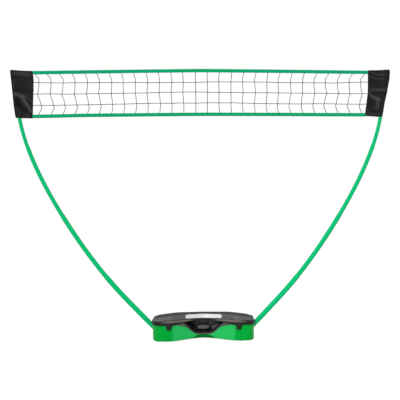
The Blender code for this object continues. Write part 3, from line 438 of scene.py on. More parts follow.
def twisted_net_cord(colours):
    """Twisted polyethylene twine: black, slightly waxy. The lay of the strands is drawn at 4 mm,
    which is coarser than the real 2 mm."""
    lay_of_strands = {"wave_type": "BANDS", "bands_direction": "DIAGONAL", "Scale": 80.0,
                      "Distortion": 0.4}
    return two_toned("twisted_polyethylene_twine", ("TexWave", lay_of_strands),
                     (tint(colours.cord, 0.7), tint(colours.cord, 1.6)), 0.7, (None, 0.5, 0.0004),
                     constants={"Specular IOR Level": 0.12})


def weave_of(tree, place, bands):
    """A plain weave: bands across and along the cloth, multiplied. Each has its own settings."""
    ribs, picks = (add_node(tree, "TexWave", {"wave_type": "BANDS", "bands_direction": way,
                                              **settings, "Vector": place})
                   for way, settings in zip("XZ", bands))
    return add_node(tree, "Math", {"operation": "MULTIPLY", 0: ribs, 1: picks})


def woven_tape(colours):
    """Polyester tape in plain weave: dull green ribs across it, drawn 2 mm apart."""
    material, tree, shader, place = new_material("woven_polyester_tape_green")
    weave = weave_of(tree, place, ({"Scale": 160.0, "Distortion": 0.5, "Detail": 1.0},
                                   {"Scale": 200.0, "Distortion": 0.5}))
    shade = add_node(tree, "TexNoise", {"Scale": 6.0, "Detail": 3.0, "Vector": place})
    fade = add_node(tree, "Mix", {"data_type": "RGBA", 0: shade, 6: tint(colours.tape, 0.86),
                                  7: tint(colours.tape, 1.14)})
    blend = add_node(tree, "Mix", {"data_type": "RGBA", "blend_type": "MULTIPLY", 0: 0.25, 6: fade,
                                   7: weave})
    bump = add_node(tree, "Bump", {"Strength": 0.4, "Distance": 0.0004, "Height": weave})
    set_up(tree, shader, {"Base Color": blend, "Roughness": 0.72, "Normal": bump,
                          "Specular IOR Level": 0.2, "Specular Tint": (0.05, 1.0, 0.6, 1.0)})
    return material


def coated_sleeve_fabric(colours):
    """Coated oxford polyester: black, greyer with painted sheen on a fold's crest and blacker with
    painted shade in its valleys and seams, in a basket weave drawn 2.5 mm apart, which is coarser
    than the real 0.6 mm."""
    material, tree, shader, place = new_material("coated_oxford_polyester_black")
    slack = {"Scale": 125.0, "Distortion": 0.8, "Detail": 1.0}
    weave = weave_of(tree, place, (slack, slack))
    patch = add_node(tree, "TexNoise", {"Scale": 18.0, "Detail": 4.0, "Vector": place})
    cloudy = add_node(tree, "MapRange", {0: patch, 1: 0.3, 2: 0.7})
    fabric = add_node(tree, "Mix", {"data_type": "RGBA", 0: cloudy, 6: tint(colours.sleeve, 0.70),
                                    7: tint(colours.sleeve, 1.30)})
    # Painted sheen on the folds' crests, and painted shade in their valleys and at the seams
    painted_sheen = add_node(tree, "Attribute", {"attribute_name": "painted_sheen"})
    painted_highlight = add_node(tree, "Mix", {"data_type": "RGBA", 0: painted_sheen, 6: fabric,
                                  7: tint(colours.sleeve, 4.8)})
    painted_shade = add_node(tree, "Attribute", {"attribute_name": "painted_shade"})
    fade = add_node(tree, "Mix", {"data_type": "RGBA", 0: painted_shade, 6: painted_highlight, 7: tint(colours.sleeve, 0.15)})
    rough = add_node(tree, "MapRange", {0: painted_sheen, 3: 0.62, 4: 0.46})
    bump = add_node(tree, "Bump", {"Strength": 0.35, "Distance": 0.0004, "Height": weave})
    set_up(tree, shader, {"Base Color": fade, "Roughness": rough, "Normal": bump,
                          "Specular IOR Level": 0.08})
    return material


MAKERS = {
    "tub_plastic": moulded_tub_plastic,
    "lid_plastic": moulded_lid_plastic,
    "label": label_sheet,
    "trim_plastic": moulded_trim_plastic,
    "grip_rubber": moulded_grip_rubber,
    "foot_rubber": moulded_foot_rubber,
    "pin_steel": drawn_pin_steel,
    "pole_tube": lacquered_pole,
    "elastic_cord": braided_elastic,
    "net_cord": twisted_net_cord,
    "tape_webbing": woven_tape,
    "sleeve_fabric": coated_sleeve_fabric,
}


def give_finish(piece, slot):
    """Gives a piece the material of a slot, which is made when it is first asked for."""
    material = next((m for m in bpy.data.materials if m.get("slot") == slot), None)
    if material is None:
        material = MAKERS[slot](bpy.context.scene.net_set_colours)
        material["slot"] = slot
    piece.data.materials.clear()
    piece.data.materials.append(material)


# Modelling

def opened(add, **settings):
    """Adds a primitive alone, with its place in its mesh, and opens it in edit mode."""
    bpy.ops.object.select_all(action="DESELECT")
    add(**settings)
    bpy.ops.object.transform_apply(location=True, rotation=True, scale=True)
    bpy.ops.object.mode_set(mode="EDIT")
    return bpy.context.object


def select_only(*pieces):
    """Selects pieces and makes the first of them active."""
    bpy.ops.object.select_all(action="DESELECT")
    for piece in pieces:
        piece.select_set(True)
    bpy.context.view_layer.objects.active = pieces[0]


def lay(piece, indices, points):
    """Moves vertices of the open piece onto points, and selects only them."""
    shape = bmesh.from_edit_mesh(piece.data)
    shape.verts.ensure_lookup_table()
    for vert in shape.verts:
        vert.select = False
    for index, point in zip(indices, points):
        shape.verts[index].co = point
        shape.verts[index].select = True
    shape.select_mode = {"VERT"}
    shape.select_flush_mode()
    bmesh.update_edit_mesh(piece.data)


def extrude_to(piece, loop, points):
    """Extrudes the selected loop and lays the new vertices on points. Returns the new loop."""
    bpy.ops.mesh.extrude_region_move()
    shape = bmesh.from_edit_mesh(piece.data)
    shape.verts.ensure_lookup_table()
    shape.verts.index_update()
    grown = []
    for index in loop:
        vert = shape.verts[index]
        grown.append(next(e.other_vert(vert).index for e in vert.link_edges
                          if e.other_vert(vert).select))
    lay(piece, grown, points)
    return grown


def ringed(rings, ends="capped"):
    """Lays a circle on the first ring and extrudes it on to the others, with normals outward. Its
    ends are capped, joined to each other or left open."""
    count = len(rings[0])
    piece = opened(bpy.ops.mesh.primitive_circle_add, vertices=count, radius=0.01)
    first = loop = list(range(count))
    lay(piece, loop, rings[0])
    for points in rings[1:]:
        loop = extrude_to(piece, loop, points)
    if ends == "joined":
        shape = bmesh.from_edit_mesh(piece.data)
        shape.verts.ensure_lookup_table()
        for vert in shape.verts:
            vert.select = vert.index in first or vert.index in loop
        for edge in shape.edges:
            sides = {v.index in first for v in edge.verts}
            edge.select = all(v.select for v in edge.verts) and len(sides) == 1
        bpy.context.tool_settings.mesh_select_mode = (False, True, False)
        shape.select_mode = {"EDGE"}
        shape.select_flush_mode()
        bmesh.update_edit_mesh(piece.data)
        bpy.ops.mesh.bridge_edge_loops()
        bpy.context.tool_settings.mesh_select_mode = (True, False, False)
    elif ends == "capped":
        bpy.ops.mesh.edge_face_add()
        lay(piece, first, rings[0])
        bpy.ops.mesh.edge_face_add()
    bpy.ops.mesh.select_all(action="SELECT")
    bpy.ops.mesh.normals_make_consistent(inside=False)
    bpy.ops.object.mode_set(mode="OBJECT")
    return piece


def close_across(piece, loops, pointed=False):
    """Closes loops of a piece, given as slices of its vertices, with a strip of faces from one half
    of each to the other. A pointed loop has a single vertex at either end."""
    shape = bmesh.new()
    shape.from_mesh(piece.data)
    shape.verts.ensure_lookup_table()
    gap = 0 if pointed else 1
    for loop in loops:
        verts = shape.verts[loop]
        for i in range(len(verts) // 2 - gap):
            corners = (verts[i], verts[i + 1], verts[-i - 1 - gap], verts[-i - gap])
            shape.faces.new(list(dict.fromkeys(corners)))
    bmesh.ops.recalc_face_normals(shape, faces=shape.faces)
    shape.to_mesh(piece.data)
    shape.free()


def bar(outline, start, end):
    """Extrudes an outline of (Y, Z) points along X and closes its ends."""
    return ringed([[(x, y, z) for y, z in outline] for x in (start, end)])


def round_outline(centre, radius, sides):
    turns = [2 * math.pi * i / sides for i in range(sides)]
    return [(centre[0] + radius * math.cos(t), centre[1] + radius * math.sin(t)) for t in turns]


def arc(centre, radius, first, last, steps):
    """Points of an arc from the first angle to the last, in degrees."""
    turns = [math.radians(first + (last - first) * i / steps) for i in range(steps + 1)]
    return [(centre[0] + radius * math.cos(t), centre[1] + radius * math.sin(t)) for t in turns]


def box_between(low, high):
    outline = ((low[1], low[2]), (high[1], low[2]), (high[1], high[2]), (low[1], high[2]))
    return bar(outline, low[0], high[0])


def apply_modifier(piece, kind, **settings):
    """Adds a modifier with its settings and applies it."""
    select_only(piece)
    modifier = piece.modifiers.new(kind.lower(), kind)
    for key, value in settings.items():
        setattr(modifier, key, value)
    bpy.ops.object.modifier_apply(modifier=modifier.name)


def round_edges(piece, width, degrees=40, segments=2):
    apply_modifier(piece, "BEVEL", width=width, segments=segments, limit_method="ANGLE",
                   angle_limit=math.radians(degrees), harden_normals=False)


def combine(piece, tools, operation):
    """Joins each tool to a piece, or cuts it away, and removes the tool."""
    for tool in tools:
        apply_modifier(piece, "BOOLEAN", operation=operation, solver="EXACT", object=tool)
        bpy.data.objects.remove(tool)


def joined_pieces(pieces):
    """Joins pieces into the first of them."""
    select_only(*pieces)
    bpy.ops.object.join()
    return pieces[0]


def copies_at(piece, places):
    """Copies of a piece made at the origin, each moved in its own mesh. The piece itself goes."""
    copies = []
    for place in places:
        made = piece.copy()
        made.data = piece.data.copy()
        bpy.context.collection.objects.link(made)
        made.data.transform(Matrix.Translation(place))
        copies.append(made)
    bpy.data.objects.remove(piece)
    return copies


def paint(piece, name, value):
    """Stores a value on each vertex, worked out from its place, for the finish to read."""
    layer = piece.data.attributes.new(name, "FLOAT", "POINT")
    for vert, stored in zip(piece.data.vertices, layer.data):
        stored.value = value(vert.co)


def dress(piece, name, slot, body, *replaced, smooth=35):
    """Names a finished piece, gives it its finish and shading, and lets it ride its body."""
    select_only(piece)
    piece.name = piece.data.name = name
    give_finish(piece, slot)
    bpy.ops.object.shade_smooth_by_angle(angle=math.radians(smooth))
    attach(piece, body)
    if replaced:
        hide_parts(*replaced)
    return piece


def keep(node, slot):
    """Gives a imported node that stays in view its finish."""
    give_finish(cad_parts[node], slot)


def clamp(share):
    return min(1.0, max(0.0, share))


def smoothstep(share):
    share = clamp(share)
    return share * share * (3 - 2 * share)


def side_name(side):
    return "left" if side < 0 else "right"


# Shape of the case

def front_line(x):
    """Depth of the case's front wall: a waist between two flat end blocks."""
    reach = min(1.0, abs(x) / WAIST_HALF_WIDTH)
    return -CASE_DEPTH / 2 + WAIST_DEPTH * (1 - reach ** WAIST_POWER)


def waist_stations():
    """X of the columns along half the waist, the last one just short of its end."""
    even = [WAIST_HALF_WIDTH * i / WAIST_STEPS for i in range(WAIST_STEPS)]
    return even + [WAIST_HALF_WIDTH - WAIST_EDGE]


def plan_row(line, corner):
    """Points of the front or rear wall on the +X side, from the middle round the corner."""
    stations = waist_stations() + [WAIST_HALF_WIDTH + WAIST_EDGE, 0.256, 0.286]
    points = [Vector((x, line(x))) for x in stations]
    inward = -1 if line(CASE_LENGTH / 2) > 0 else 1
    start = Vector((CASE_LENGTH / 2 - corner.x, line(CASE_LENGTH / 2)))
    for i in range(CORNER_STEPS + 1):
        turn = math.pi / 2 * i / CORNER_STEPS
        points.append(start + Vector((corner.x * math.sin(turn),
                                      inward * corner.y * (1 - math.cos(turn)))))
    return points


def mirrored(points):
    return [Vector((-p.x, p.y)) for p in reversed(points)]


def case_plan():
    """The tub's plan, counter-clockwise from the middle of the front-left corner."""
    front = plan_row(front_line, FRONT_CORNER)
    rear = plan_row(lambda x: CASE_DEPTH / 2, REAR_CORNER)
    end = [front[-1].lerp(rear[-1], i / END_STEPS) for i in range(1, END_STEPS)]
    loop = mirrored(front[1:]) + front + end + list(reversed(rear))
    loop += list(reversed(mirrored(rear[1:]))) + mirrored(end)
    half_corner = CORNER_STEPS // 2
    return loop[half_corner:] + loop[:half_corner]


PLAN = case_plan()
PLAN_COLUMNS = 2 * (len(plan_row(front_line, FRONT_CORNER)) - 1) - CORNER_STEPS
PLAN_ROWS = CORNER_STEPS + END_STEPS


def plan_normals():
    """Outward direction and stretch at each point of the plan."""
    found = []
    for i, point in enumerate(PLAN):
        back, ahead = PLAN[i - 1], PLAN[(i + 1) % len(PLAN)]
        if (point - back).length < 0.004:
            back = PLAN[i - 2]
        if (point - ahead).length < 0.004:
            ahead = PLAN[(i + 2) % len(PLAN)]
        before, after = (point - back).normalized(), (ahead - point).normalized()
        first, second = Vector((before.y, -before.x)), Vector((after.y, -after.x))
        bisector = (first + second).normalized()
        found.append(bisector / max(0.5, bisector.dot(first)))
    return found


PLAN_NORMALS = plan_normals()


def frontness(y):
    """1 along the front wall, easing to 0 at the rear along the end walls."""
    return smoothstep((0.08 - y) / 0.13)


def case_ring(grow, height):
    """A loop round the case, moved outward and up by functions of X and frontness."""
    ring = []
    for point, normal in zip(PLAN, PLAN_NORMALS):
        share = frontness(point.y)
        moved = point + normal * grow(point.x, share)
        ring.append(Vector((moved.x, moved.y, height(point.x, share))))
    return ring


def waist_wave(x):
    reach = min(1.0, abs(x) / WAIST_HALF_WIDTH)
    return math.cos(math.pi / 2 * reach) ** 2


def notch_line(x):
    """Height of the tub's front edge in the waist, with the notch for the handle."""
    reach = clamp((abs(x) - NOTCH_INNER) / (NOTCH_OUTER - NOTCH_INNER))
    return NOTCH_BOTTOM + (WAIST_RIM - NOTCH_BOTTOM) * smoothstep(reach ** NOTCH_POWER)


def skirt_line(x):
    """Height of the lid's lower edge at the front, arched over the handle."""
    ease = 1 - smoothstep((abs(x) / SKIRT_ARCH_HALF_WIDTH) ** SKIRT_ARCH_POWER)
    return SKIRT_BOTTOM + (SKIRT_ARCH_TOP - SKIRT_BOTTOM) * ease


def housing_top(x):
    return HOUSING_TOP + HOUSING_RISE * (1 - (x / WAIST_HALF_WIDTH) ** 2)


def crown(x):
    """How much the lid rises above its height near the ends."""
    return CROWN_RISE * (1 - (min(abs(x), 0.37) / CROWN_HALF_LENGTH) ** CROWN_POWER)


def shoulder(x):
    """How much the lid's upper edge rises more, between its middle and its ends."""
    return 0.0050 * math.exp(-((abs(x) - 0.19) / 0.08) ** 2)


def case_sheet(ring, settle):
    """A grid laid inside a case loop, blended from its four sides by true distance, so that the
    bunched rows at the rounded corners can't fold it over. Its inner points are then settled."""
    columns, rows = PLAN_COLUMNS, PLAN_ROWS
    front = ring[:columns + 1]
    right = ring[columns:columns + rows + 1]
    rear = list(reversed(ring[columns + rows:2 * columns + rows + 1]))
    left = [ring[0]] + list(reversed(ring[2 * columns + rows:]))
    piece = opened(bpy.ops.mesh.primitive_grid_add, x_subdivisions=columns, y_subdivisions=rows,
                   size=1.0)
    shape = bmesh.from_edit_mesh(piece.data)
    points = []
    for vert in shape.verts:
        i, j = round((vert.co.x + 0.5) * columns), round((vert.co.y + 0.5) * rows)
        u = (front[i].x - front[0].x) / (front[-1].x - front[0].x)
        v = (left[j].y - left[0].y) / (left[-1].y - left[0].y)
        point = front[i] * (1 - v) + rear[i] * v + left[j] * (1 - u) + right[j] * u
        point -= (front[0] * (1 - u) + front[-1] * u) * (1 - v) + (rear[0] * (1 - u) + rear[-1] * u) * v
        inside = 0 < i < columns and 0 < j < rows
        points.append(settle(point, front[i]) if inside else point)
    lay(piece, range(len(points)), points)
    bpy.ops.object.mode_set(mode="OBJECT")
    return piece


def case_shell(rings, settle, thickness):
    """Walls through the rings and a settled sheet across the last one, merged, with normals
    outward, and given their thickness and rounded edges."""
    shell = joined_pieces([ringed(rings, "open"), case_sheet(rings[-1], settle)])
    bpy.ops.object.mode_set(mode="EDIT")
    bpy.ops.mesh.select_all(action="SELECT")
    bpy.ops.mesh.remove_doubles(threshold=0.00002)
    bpy.ops.mesh.normals_make_consistent(inside=False)
    bpy.ops.object.mode_set(mode="OBJECT")
    apply_modifier(shell, "SOLIDIFY", thickness=thickness, offset=-1.0, use_even_offset=True)
    round_edges(shell, bpy.context.scene.net_set_sizes.rounding, 60)
    return shell


def bores(axis, radius, sides, centres, reach):
    """Cylinders to cut away along an axis, one round each centre."""
    return [bar(round_outline(axis, radius, sides), centre - reach, centre + reach)
            for centre in centres]


def hinge_knuckle(first, last, neck):
    return arc(HINGE_AXIS, KNUCKLE_RADIUS, first, last, 16) + list(neck)


# Shape of the poles

def leaning(degrees):
    """The direction of a pole on the +X side that leans outward."""
    return Vector((math.sin(math.radians(degrees)), 0, math.cos(math.radians(degrees))))


def pole_route():
    """Dense points of the pole's centreline on the +X side, with the length up to each."""
    points = []
    for (x0, z0, lean0), (x1, z1, lean1) in zip(POLE_ROUTE, POLE_ROUTE[1:]):
        start, end = Vector((x0, 0, z0)), Vector((x1, 0, z1))
        chord = (end - start).length
        leave, arrive = chord * leaning(lean0), chord * leaning(lean1)
        for i in range(ROUTE_STEPS):
            t = i / ROUTE_STEPS
            points.append((2 * t ** 3 - 3 * t ** 2 + 1) * start + (t ** 3 - 2 * t ** 2 + t) * leave
                          + (3 * t ** 2 - 2 * t ** 3) * end + (t ** 3 - t ** 2) * arrive)
    points.append(Vector((POLE_ROUTE[-1][0], 0, POLE_ROUTE[-1][1])))
    lengths = [0.0]
    for first, second in zip(points, points[1:]):
        lengths.append(lengths[-1] + (second - first).length)
    return points, lengths


ROUTE, ROUTE_LENGTHS = pole_route()
JOINTS = ROUTE_LENGTHS[::ROUTE_STEPS]


def pole_point(side, distance):
    """Centre and direction of the pole at a distance from the socket's mouth."""
    if distance <= 0:
        along = leaning(POLE_ROUTE[0][2])
        centre = ROUTE[0] + along * distance
    else:
        i = max(k for k, length in enumerate(ROUTE_LENGTHS[:-1]) if length <= distance)
        along = (ROUTE[i + 1] - ROUTE[i]).normalized()
        centre = ROUTE[i] + along * (distance - ROUTE_LENGTHS[i])
    return Vector((side * centre.x, 0, centre.z)), Vector((side * along.x, 0, along.z))


def pole_swell(distance):
    """How much fuller the tubes are drawn at a distance from the socket's mouth."""
    return (POLE_SWELL * smoothstep((distance - SWELL_START) / SWELL_STEP)
            * smoothstep((JOINTS[4] - SLEEVED_LENGTH - distance) / SLEEVED_STEP))


def pole_ring(side, distance, radius, sides):
    """A circle of points round the pole's centreline."""
    centre, along = pole_point(side, distance)
    across = Vector((along.z, 0, -along.x))
    turns = [2 * math.pi * i / sides for i in range(sides)]
    return [centre + radius * (math.cos(t) * across + math.sin(t) * Vector((0, 1, 0))) for t in turns]


def pole_x(height):
    """X of the pole's centreline at a height, carried on straight past the tip."""
    for first, second in zip(ROUTE, ROUTE[1:]):
        if first.z <= height <= second.z:
            return first.lerp(second, (height - first.z) / (second.z - first.z)).x
    step = ROUTE[-1] - ROUTE[-2]
    return ROUTE[-1].x + step.x / step.z * (height - ROUTE[-1].z)


# Shape of the net

def bowed(line, x):
    """Height of a bowed line of the net, given as its end height and its rise in the middle."""
    return line[0] + line[1] * (1 - (abs(x) / NET_HALF_WIDTH) ** NET_BOW_POWER)


def sleeve_outline(side, height):
    """X of a sleeve's inner and outer edge at a height, the outer one clear of the pole."""
    level = clamp((height - SLEEVE_BOTTOM) / (SLEEVE_TOP - SLEEVE_BOTTOM))
    for first, second in zip(SLEEVE_EDGES[side], SLEEVE_EDGES[side][1:]):
        if level <= second[0]:
            break
    share = (level - first[0]) / (second[0] - first[0])
    inner, outer = (first[k] + (second[k] - first[k]) * share for k in (1, 2))
    return inner, max(outer, pole_x(height) + SLEEVE_CLEARANCE)


def end_in_sleeve(side, height):
    """X at which a strand or tape ends, a little inside the sleeve."""
    return side * (sleeve_outline(side, height)[0] + NET_REACH)


# Operators

class NETSET_OT_stage(bpy.types.Operator):
    """Lay the floor, light the scene softly and place the camera in front of the net"""
    bl_idname = "net_set.stage"
    bl_label = "Stage"

    def execute(self, context):
        floor = opened(bpy.ops.mesh.primitive_plane_add, size=24.0)
        bpy.ops.object.mode_set(mode="OBJECT")
        floor.name = floor.data.name = "studio_floor"
        material, tree, shader, _ = new_material("studio_floor_paint")
        set_up(tree, shader, {"Base Color": tint(srgb("#ececec")), "Roughness": 0.9,
                              "Specular IOR Level": 0.0})
        path = add_node(tree, "LightPath", {}).outputs
        shown = add_node(tree, "Math", {"operation": "MAXIMUM", 0: path["Is Camera Ray"],
                                        1: path["Is Glossy Ray"]})
        share = add_node(tree, "Math", {"operation": "MULTIPLY", 0: shown, 1: 0.80})
        white = add_node(tree, "Emission", {"Strength": 1.16})
        both = add_node(tree, "MixShader", {0: share, 1: shader, 2: white})
        set_up(tree, tree.nodes["Material Output"], {"Surface": both})
        floor.data.materials.append(material)

        context.scene.world = bpy.data.worlds.new("studio")
        context.scene.world.use_nodes = True
        tree = context.scene.world.node_tree
        soft = set_up(tree, tree.nodes["Background"], {"Color": (1, 1, 1, 1), "Strength": 0.38})
        path = add_node(tree, "LightPath", {}).outputs
        seen = add_node(tree, "Math", {"operation": "MAXIMUM", 0: path["Is Camera Ray"],
                                       1: path["Is Transmission Ray"]})
        shown = add_node(tree, "Math", {"operation": "MAXIMUM", 0: seen, 1: path["Is Glossy Ray"]})
        white = add_node(tree, "Background", {"Color": (1, 1, 1, 1), "Strength": 1.0})
        both = add_node(tree, "MixShader", {0: shown, 1: soft, 2: white})
        set_up(tree, tree.nodes["World Output"], {"Surface": both})

        for name, place, aim, strength, softness in (
                ("key_light", (-1.7, -4.6, 4.4), (0, 0, 0.8), 2.0, 12),
                ("fill_light", (3.5, -3.5, 1.6), (0, 0, 1.0), 0.25, 60)):
            bpy.ops.object.light_add(type="SUN", location=place)
            lamp = context.object
            lamp.name = lamp.data.name = name
            lamp.rotation_euler = (Vector(aim) - Vector(place)).to_track_quat("-Z", "Y").to_euler()
            lamp.data.energy = strength
            lamp.data.angle = math.radians(softness)

        distance, turn = context.scene.net_set_sizes.camera_distance, math.radians(CAMERA_AZIMUTH)
        aim = (Matrix.Rotation(-math.radians(CAMERA_YAW), 3, "Z") @ Matrix.Rotation(math.pi / 2, 3, "X")
               @ Matrix.Rotation(math.radians(CAMERA_ROLL), 3, "Z"))
        bpy.ops.object.camera_add(
            location=(-distance * math.sin(turn), -distance * math.cos(turn), CAMERA_HEIGHT),
            rotation=aim.to_euler())
        camera = context.object
        camera.name = camera.data.name = "front_camera"
        camera.data.sensor_width = 36.0
        camera.data.lens = CAMERA_ZOOM * distance
        camera.data.clip_end = 60.0
        context.scene.camera = camera
        context.scene.view_settings.view_transform = "Standard"
        return {"FINISHED"}


class NETSET_OT_tub(bpy.types.Operator):
    """Model the moulded tub with its ribs, keepers, hinge knuckles and holes"""
    bl_idname = "net_set.tub"
    bl_label = "Tub"

    def execute(self, context):
        def arch(x, share):
            return waist_wave(x) if share > 0.5 else 0.0

        def rim(x, share):
            return notch_line(x) if share > 0.5 and abs(x) < WAIST_HALF_WIDTH else TUB_RIM

        rings = [case_ring(lambda x, f: 0.0, rim),
                 case_ring(lambda x, f: -0.0006,
                           lambda x, f: TUB_BOTTOM + 0.0135 + (TUB_ARCH + 0.005) * arch(x, f))]
        # The lower edge curls under, and further where the waist arches
        for turn in (75, 60, 45, 30, 15, 0):
            reach, drop = math.sin(math.radians(turn)), 1 - math.cos(math.radians(turn))
            rings.append(case_ring(
                lambda x, f: (-0.009 - 0.007 * arch(x, f)) * (1 - reach) - 0.0010 * reach,
                lambda x, f: TUB_BOTTOM + TUB_ARCH * arch(x, f) + (0.0085 + 0.005 * arch(x, f)) * drop))

        def settle(point, edge):
            share = clamp((ARCH_BACK - point.y) / (ARCH_BACK - edge.y))
            return Vector((point.x, point.y, TUB_BOTTOM + (edge.z - TUB_BOTTOM) * share))

        tub = case_shell(rings, settle, TUB_WALL)
        added = [box_between((rib - 0.0015, 0.036, TUB_BOTTOM + 0.0015), (rib + 0.0015, 0.112, 0.015))
                 for rib in (-0.09, -0.03, 0.03, 0.09)]
        for centre in LATCH_CENTRES:
            keeper = box_between((centre - 0.014, -0.1345, 0.094), (centre + 0.014, -0.1282, 0.099))
            round_edges(keeper, 0.0008)
            added.append(keeper)
        knuckle = hinge_knuckle(234.9, -60, ((0.1285, 0.100), (0.1285, 0.1195)))
        for centre in HINGE_CENTRES:
            added += [bar(knuckle, start, start + 0.015) for start in (centre - 0.030, centre + 0.015)]
        combine(tub, added, "UNION")
        holes = bores(HINGE_AXIS, HINGE_BORE, 20, HINGE_CENTRES, 0.035)
        holes += [ringed([pole_ring(side, distance, POLE_RADII[0] + 0.0004, 32)
                          for distance in (-0.030, 0.030)]) for side in (-1, 1)]
        for place in FOOT_PLACES:
            ring = round_outline(place, FOOT_HOLE, 20)
            holes.append(ringed([[(x, y, z) for x, y in ring] for z in (-0.01, 0.02)]))
        combine(tub, holes, "DIFFERENCE")
        # Painted reflection on the front of the waist, and painted shade low in its middle, where it curls
        # under
        paint(tub, "waist", lambda p: smoothstep((0.2275 - abs(p.x)) / 0.005) if p.y < 0 else 0.0)
        paint(tub, "painted_underside_shade", lambda p: 0.043 - 0.030 * (p.x / 0.090) ** 2 - p.z if p.y < 0 else -0.02)
        dress(tub, "tub_moulding", "tub_plastic", "base", "case_tub", smooth=30)
        return {"FINISHED"}


def ledge_lift(x, share):
    """How far the ledge at the top of the skirt climbs towards the front's two ends."""
    return 0.010 * smoothstep(abs(x) / 0.34) * share


def slope_level(share):
    """A loop on the lid's slope, from its foot to its upper edge."""
    def height(x, front):
        rise = SLOPE_RISE + FRONT_RISE * front + shoulder(x)
        return SLOPE_FOOT + rise * share + ledge_lift(x, front) * (1 - share) + crown(x)

    return case_ring(lambda x, front: 0.003 - 0.011 * share, height)


class NETSET_OT_lid(bpy.types.Operator):
    """Model the crowned lid with its skirt, latch lugs and hinge knuckles"""
    bl_idname = "net_set.lid"
    bl_label = "Lid"

    def execute(self, context):
        rings = [case_ring(lambda x, f: LID_OVERHANG,
                           lambda x, f: skirt_line(x) if f > 0.5 else SKIRT_BOTTOM)]
        for distance, height in ((0.0070, 0.1346), (0.0067, 0.1356), (0.0058, 0.1364),
                                 (0.0040, 0.1371), (0.0031, 0.1380)):
            rings.append(case_ring(lambda x, f: distance,
                                   lambda x, f: height + crown(x) + ledge_lift(x, f)))
        rings += [slope_level(share) for share in (0.02, 0.25, 0.5, 0.75, 0.94)]
        for distance, front, rear in ((-0.0085, 0.17350, 0.15410), (-0.0108, 0.17510, 0.15580),
                                      (-0.0140, 0.17630, 0.15710), (-0.0185, 0.17710, 0.15820),
                                      (-0.0240, 0.17765, 0.15930), (-0.0300, 0.17800, 0.16020)):
            rings.append(case_ring(lambda x, f: distance,
                                   lambda x, f: rear + (front - rear) * f + crown(x) + shoulder(x)))

        def domed(point, edge):
            along = smoothstep((point.y - edge.y) / 0.06) * smoothstep((0.105 - point.y) / 0.06)
            across = smoothstep((0.345 - abs(point.x)) / 0.10)
            return point + Vector((0, 0, CROWN_DOME * along * across))

        lid = case_shell(rings, domed, LID_WALL)
        knuckle = hinge_knuckle(196, 450, ((0.1355, HINGE_AXIS.y + KNUCKLE_RADIUS), (0.1355, 0.1225)))
        added = [bar(knuckle, centre - 0.0145, centre + 0.0145) for centre in HINGE_CENTRES]
        lug = arc(LATCH_AXIS, KNUCKLE_RADIUS, 90, 270, 14)
        lug += [(-0.1355, LATCH_AXIS.y - KNUCKLE_RADIUS), (-0.1355, LATCH_AXIS.y + KNUCKLE_RADIUS)]
        for centre in LATCH_CENTRES:
            added += [bar(lug, start, start + 0.004)
                      for start in (centre - LATCH_HALF_WIDTH - 0.0045, centre + LATCH_HALF_WIDTH + 0.0005)]
        combine(lid, added, "UNION")
        holes = bores(HINGE_AXIS, HINGE_BORE, 20, HINGE_CENTRES, 0.020)
        holes += bores(LATCH_AXIS, LATCH_BORE, 16, LATCH_CENTRES, 0.030)
        notch = round_outline((0.0, POLE_NOTCH_HEIGHT), POLE_NOTCH_RADIUS, 32)
        holes += [bar(notch, start, start + 0.020) for start in (-0.390, 0.370)]
        combine(lid, holes, "DIFFERENCE")

        def below_slope(p):
            return SLOPE_FOOT - 0.0002 + crown(p.x) + ledge_lift(p.x, frontness(p.y)) - p.z

        def above_slope(p):
            top = SLOPE_FOOT + SLOPE_RISE + FRONT_RISE * frontness(p.y)
            return p.z - crown(p.x) - shoulder(p.x) - top + 0.002

        def over_waist(p):
            if p.y >= 0:
                return 0.0
            return smoothstep((abs(p.x) - 0.06) / 0.06) * smoothstep((0.33 - abs(p.x)) / 0.08)

        # Masks for the painted shade below the slope and on the crest, and for the band of painted
        # highlight over the waist
        paint(lid, "rim", below_slope)
        paint(lid, "crest", above_slope)
        paint(lid, "painted_highlight", over_waist)
        dress(lid, "lid_moulding", "lid_plastic", "lid", "case_lid", smooth=30)
        return {"FINISHED"}


def front_row(ring):
    """The part of a case loop that runs along the front, from left to right."""
    return ring[:PLAN_COLUMNS + 1]


def point_at_x(row, x):
    for first, second in zip(row, row[1:]):
        if first.x <= x <= second.x:
            return first.lerp(second, (x - first.x) / (second.x - first.x))
    return row[-1]


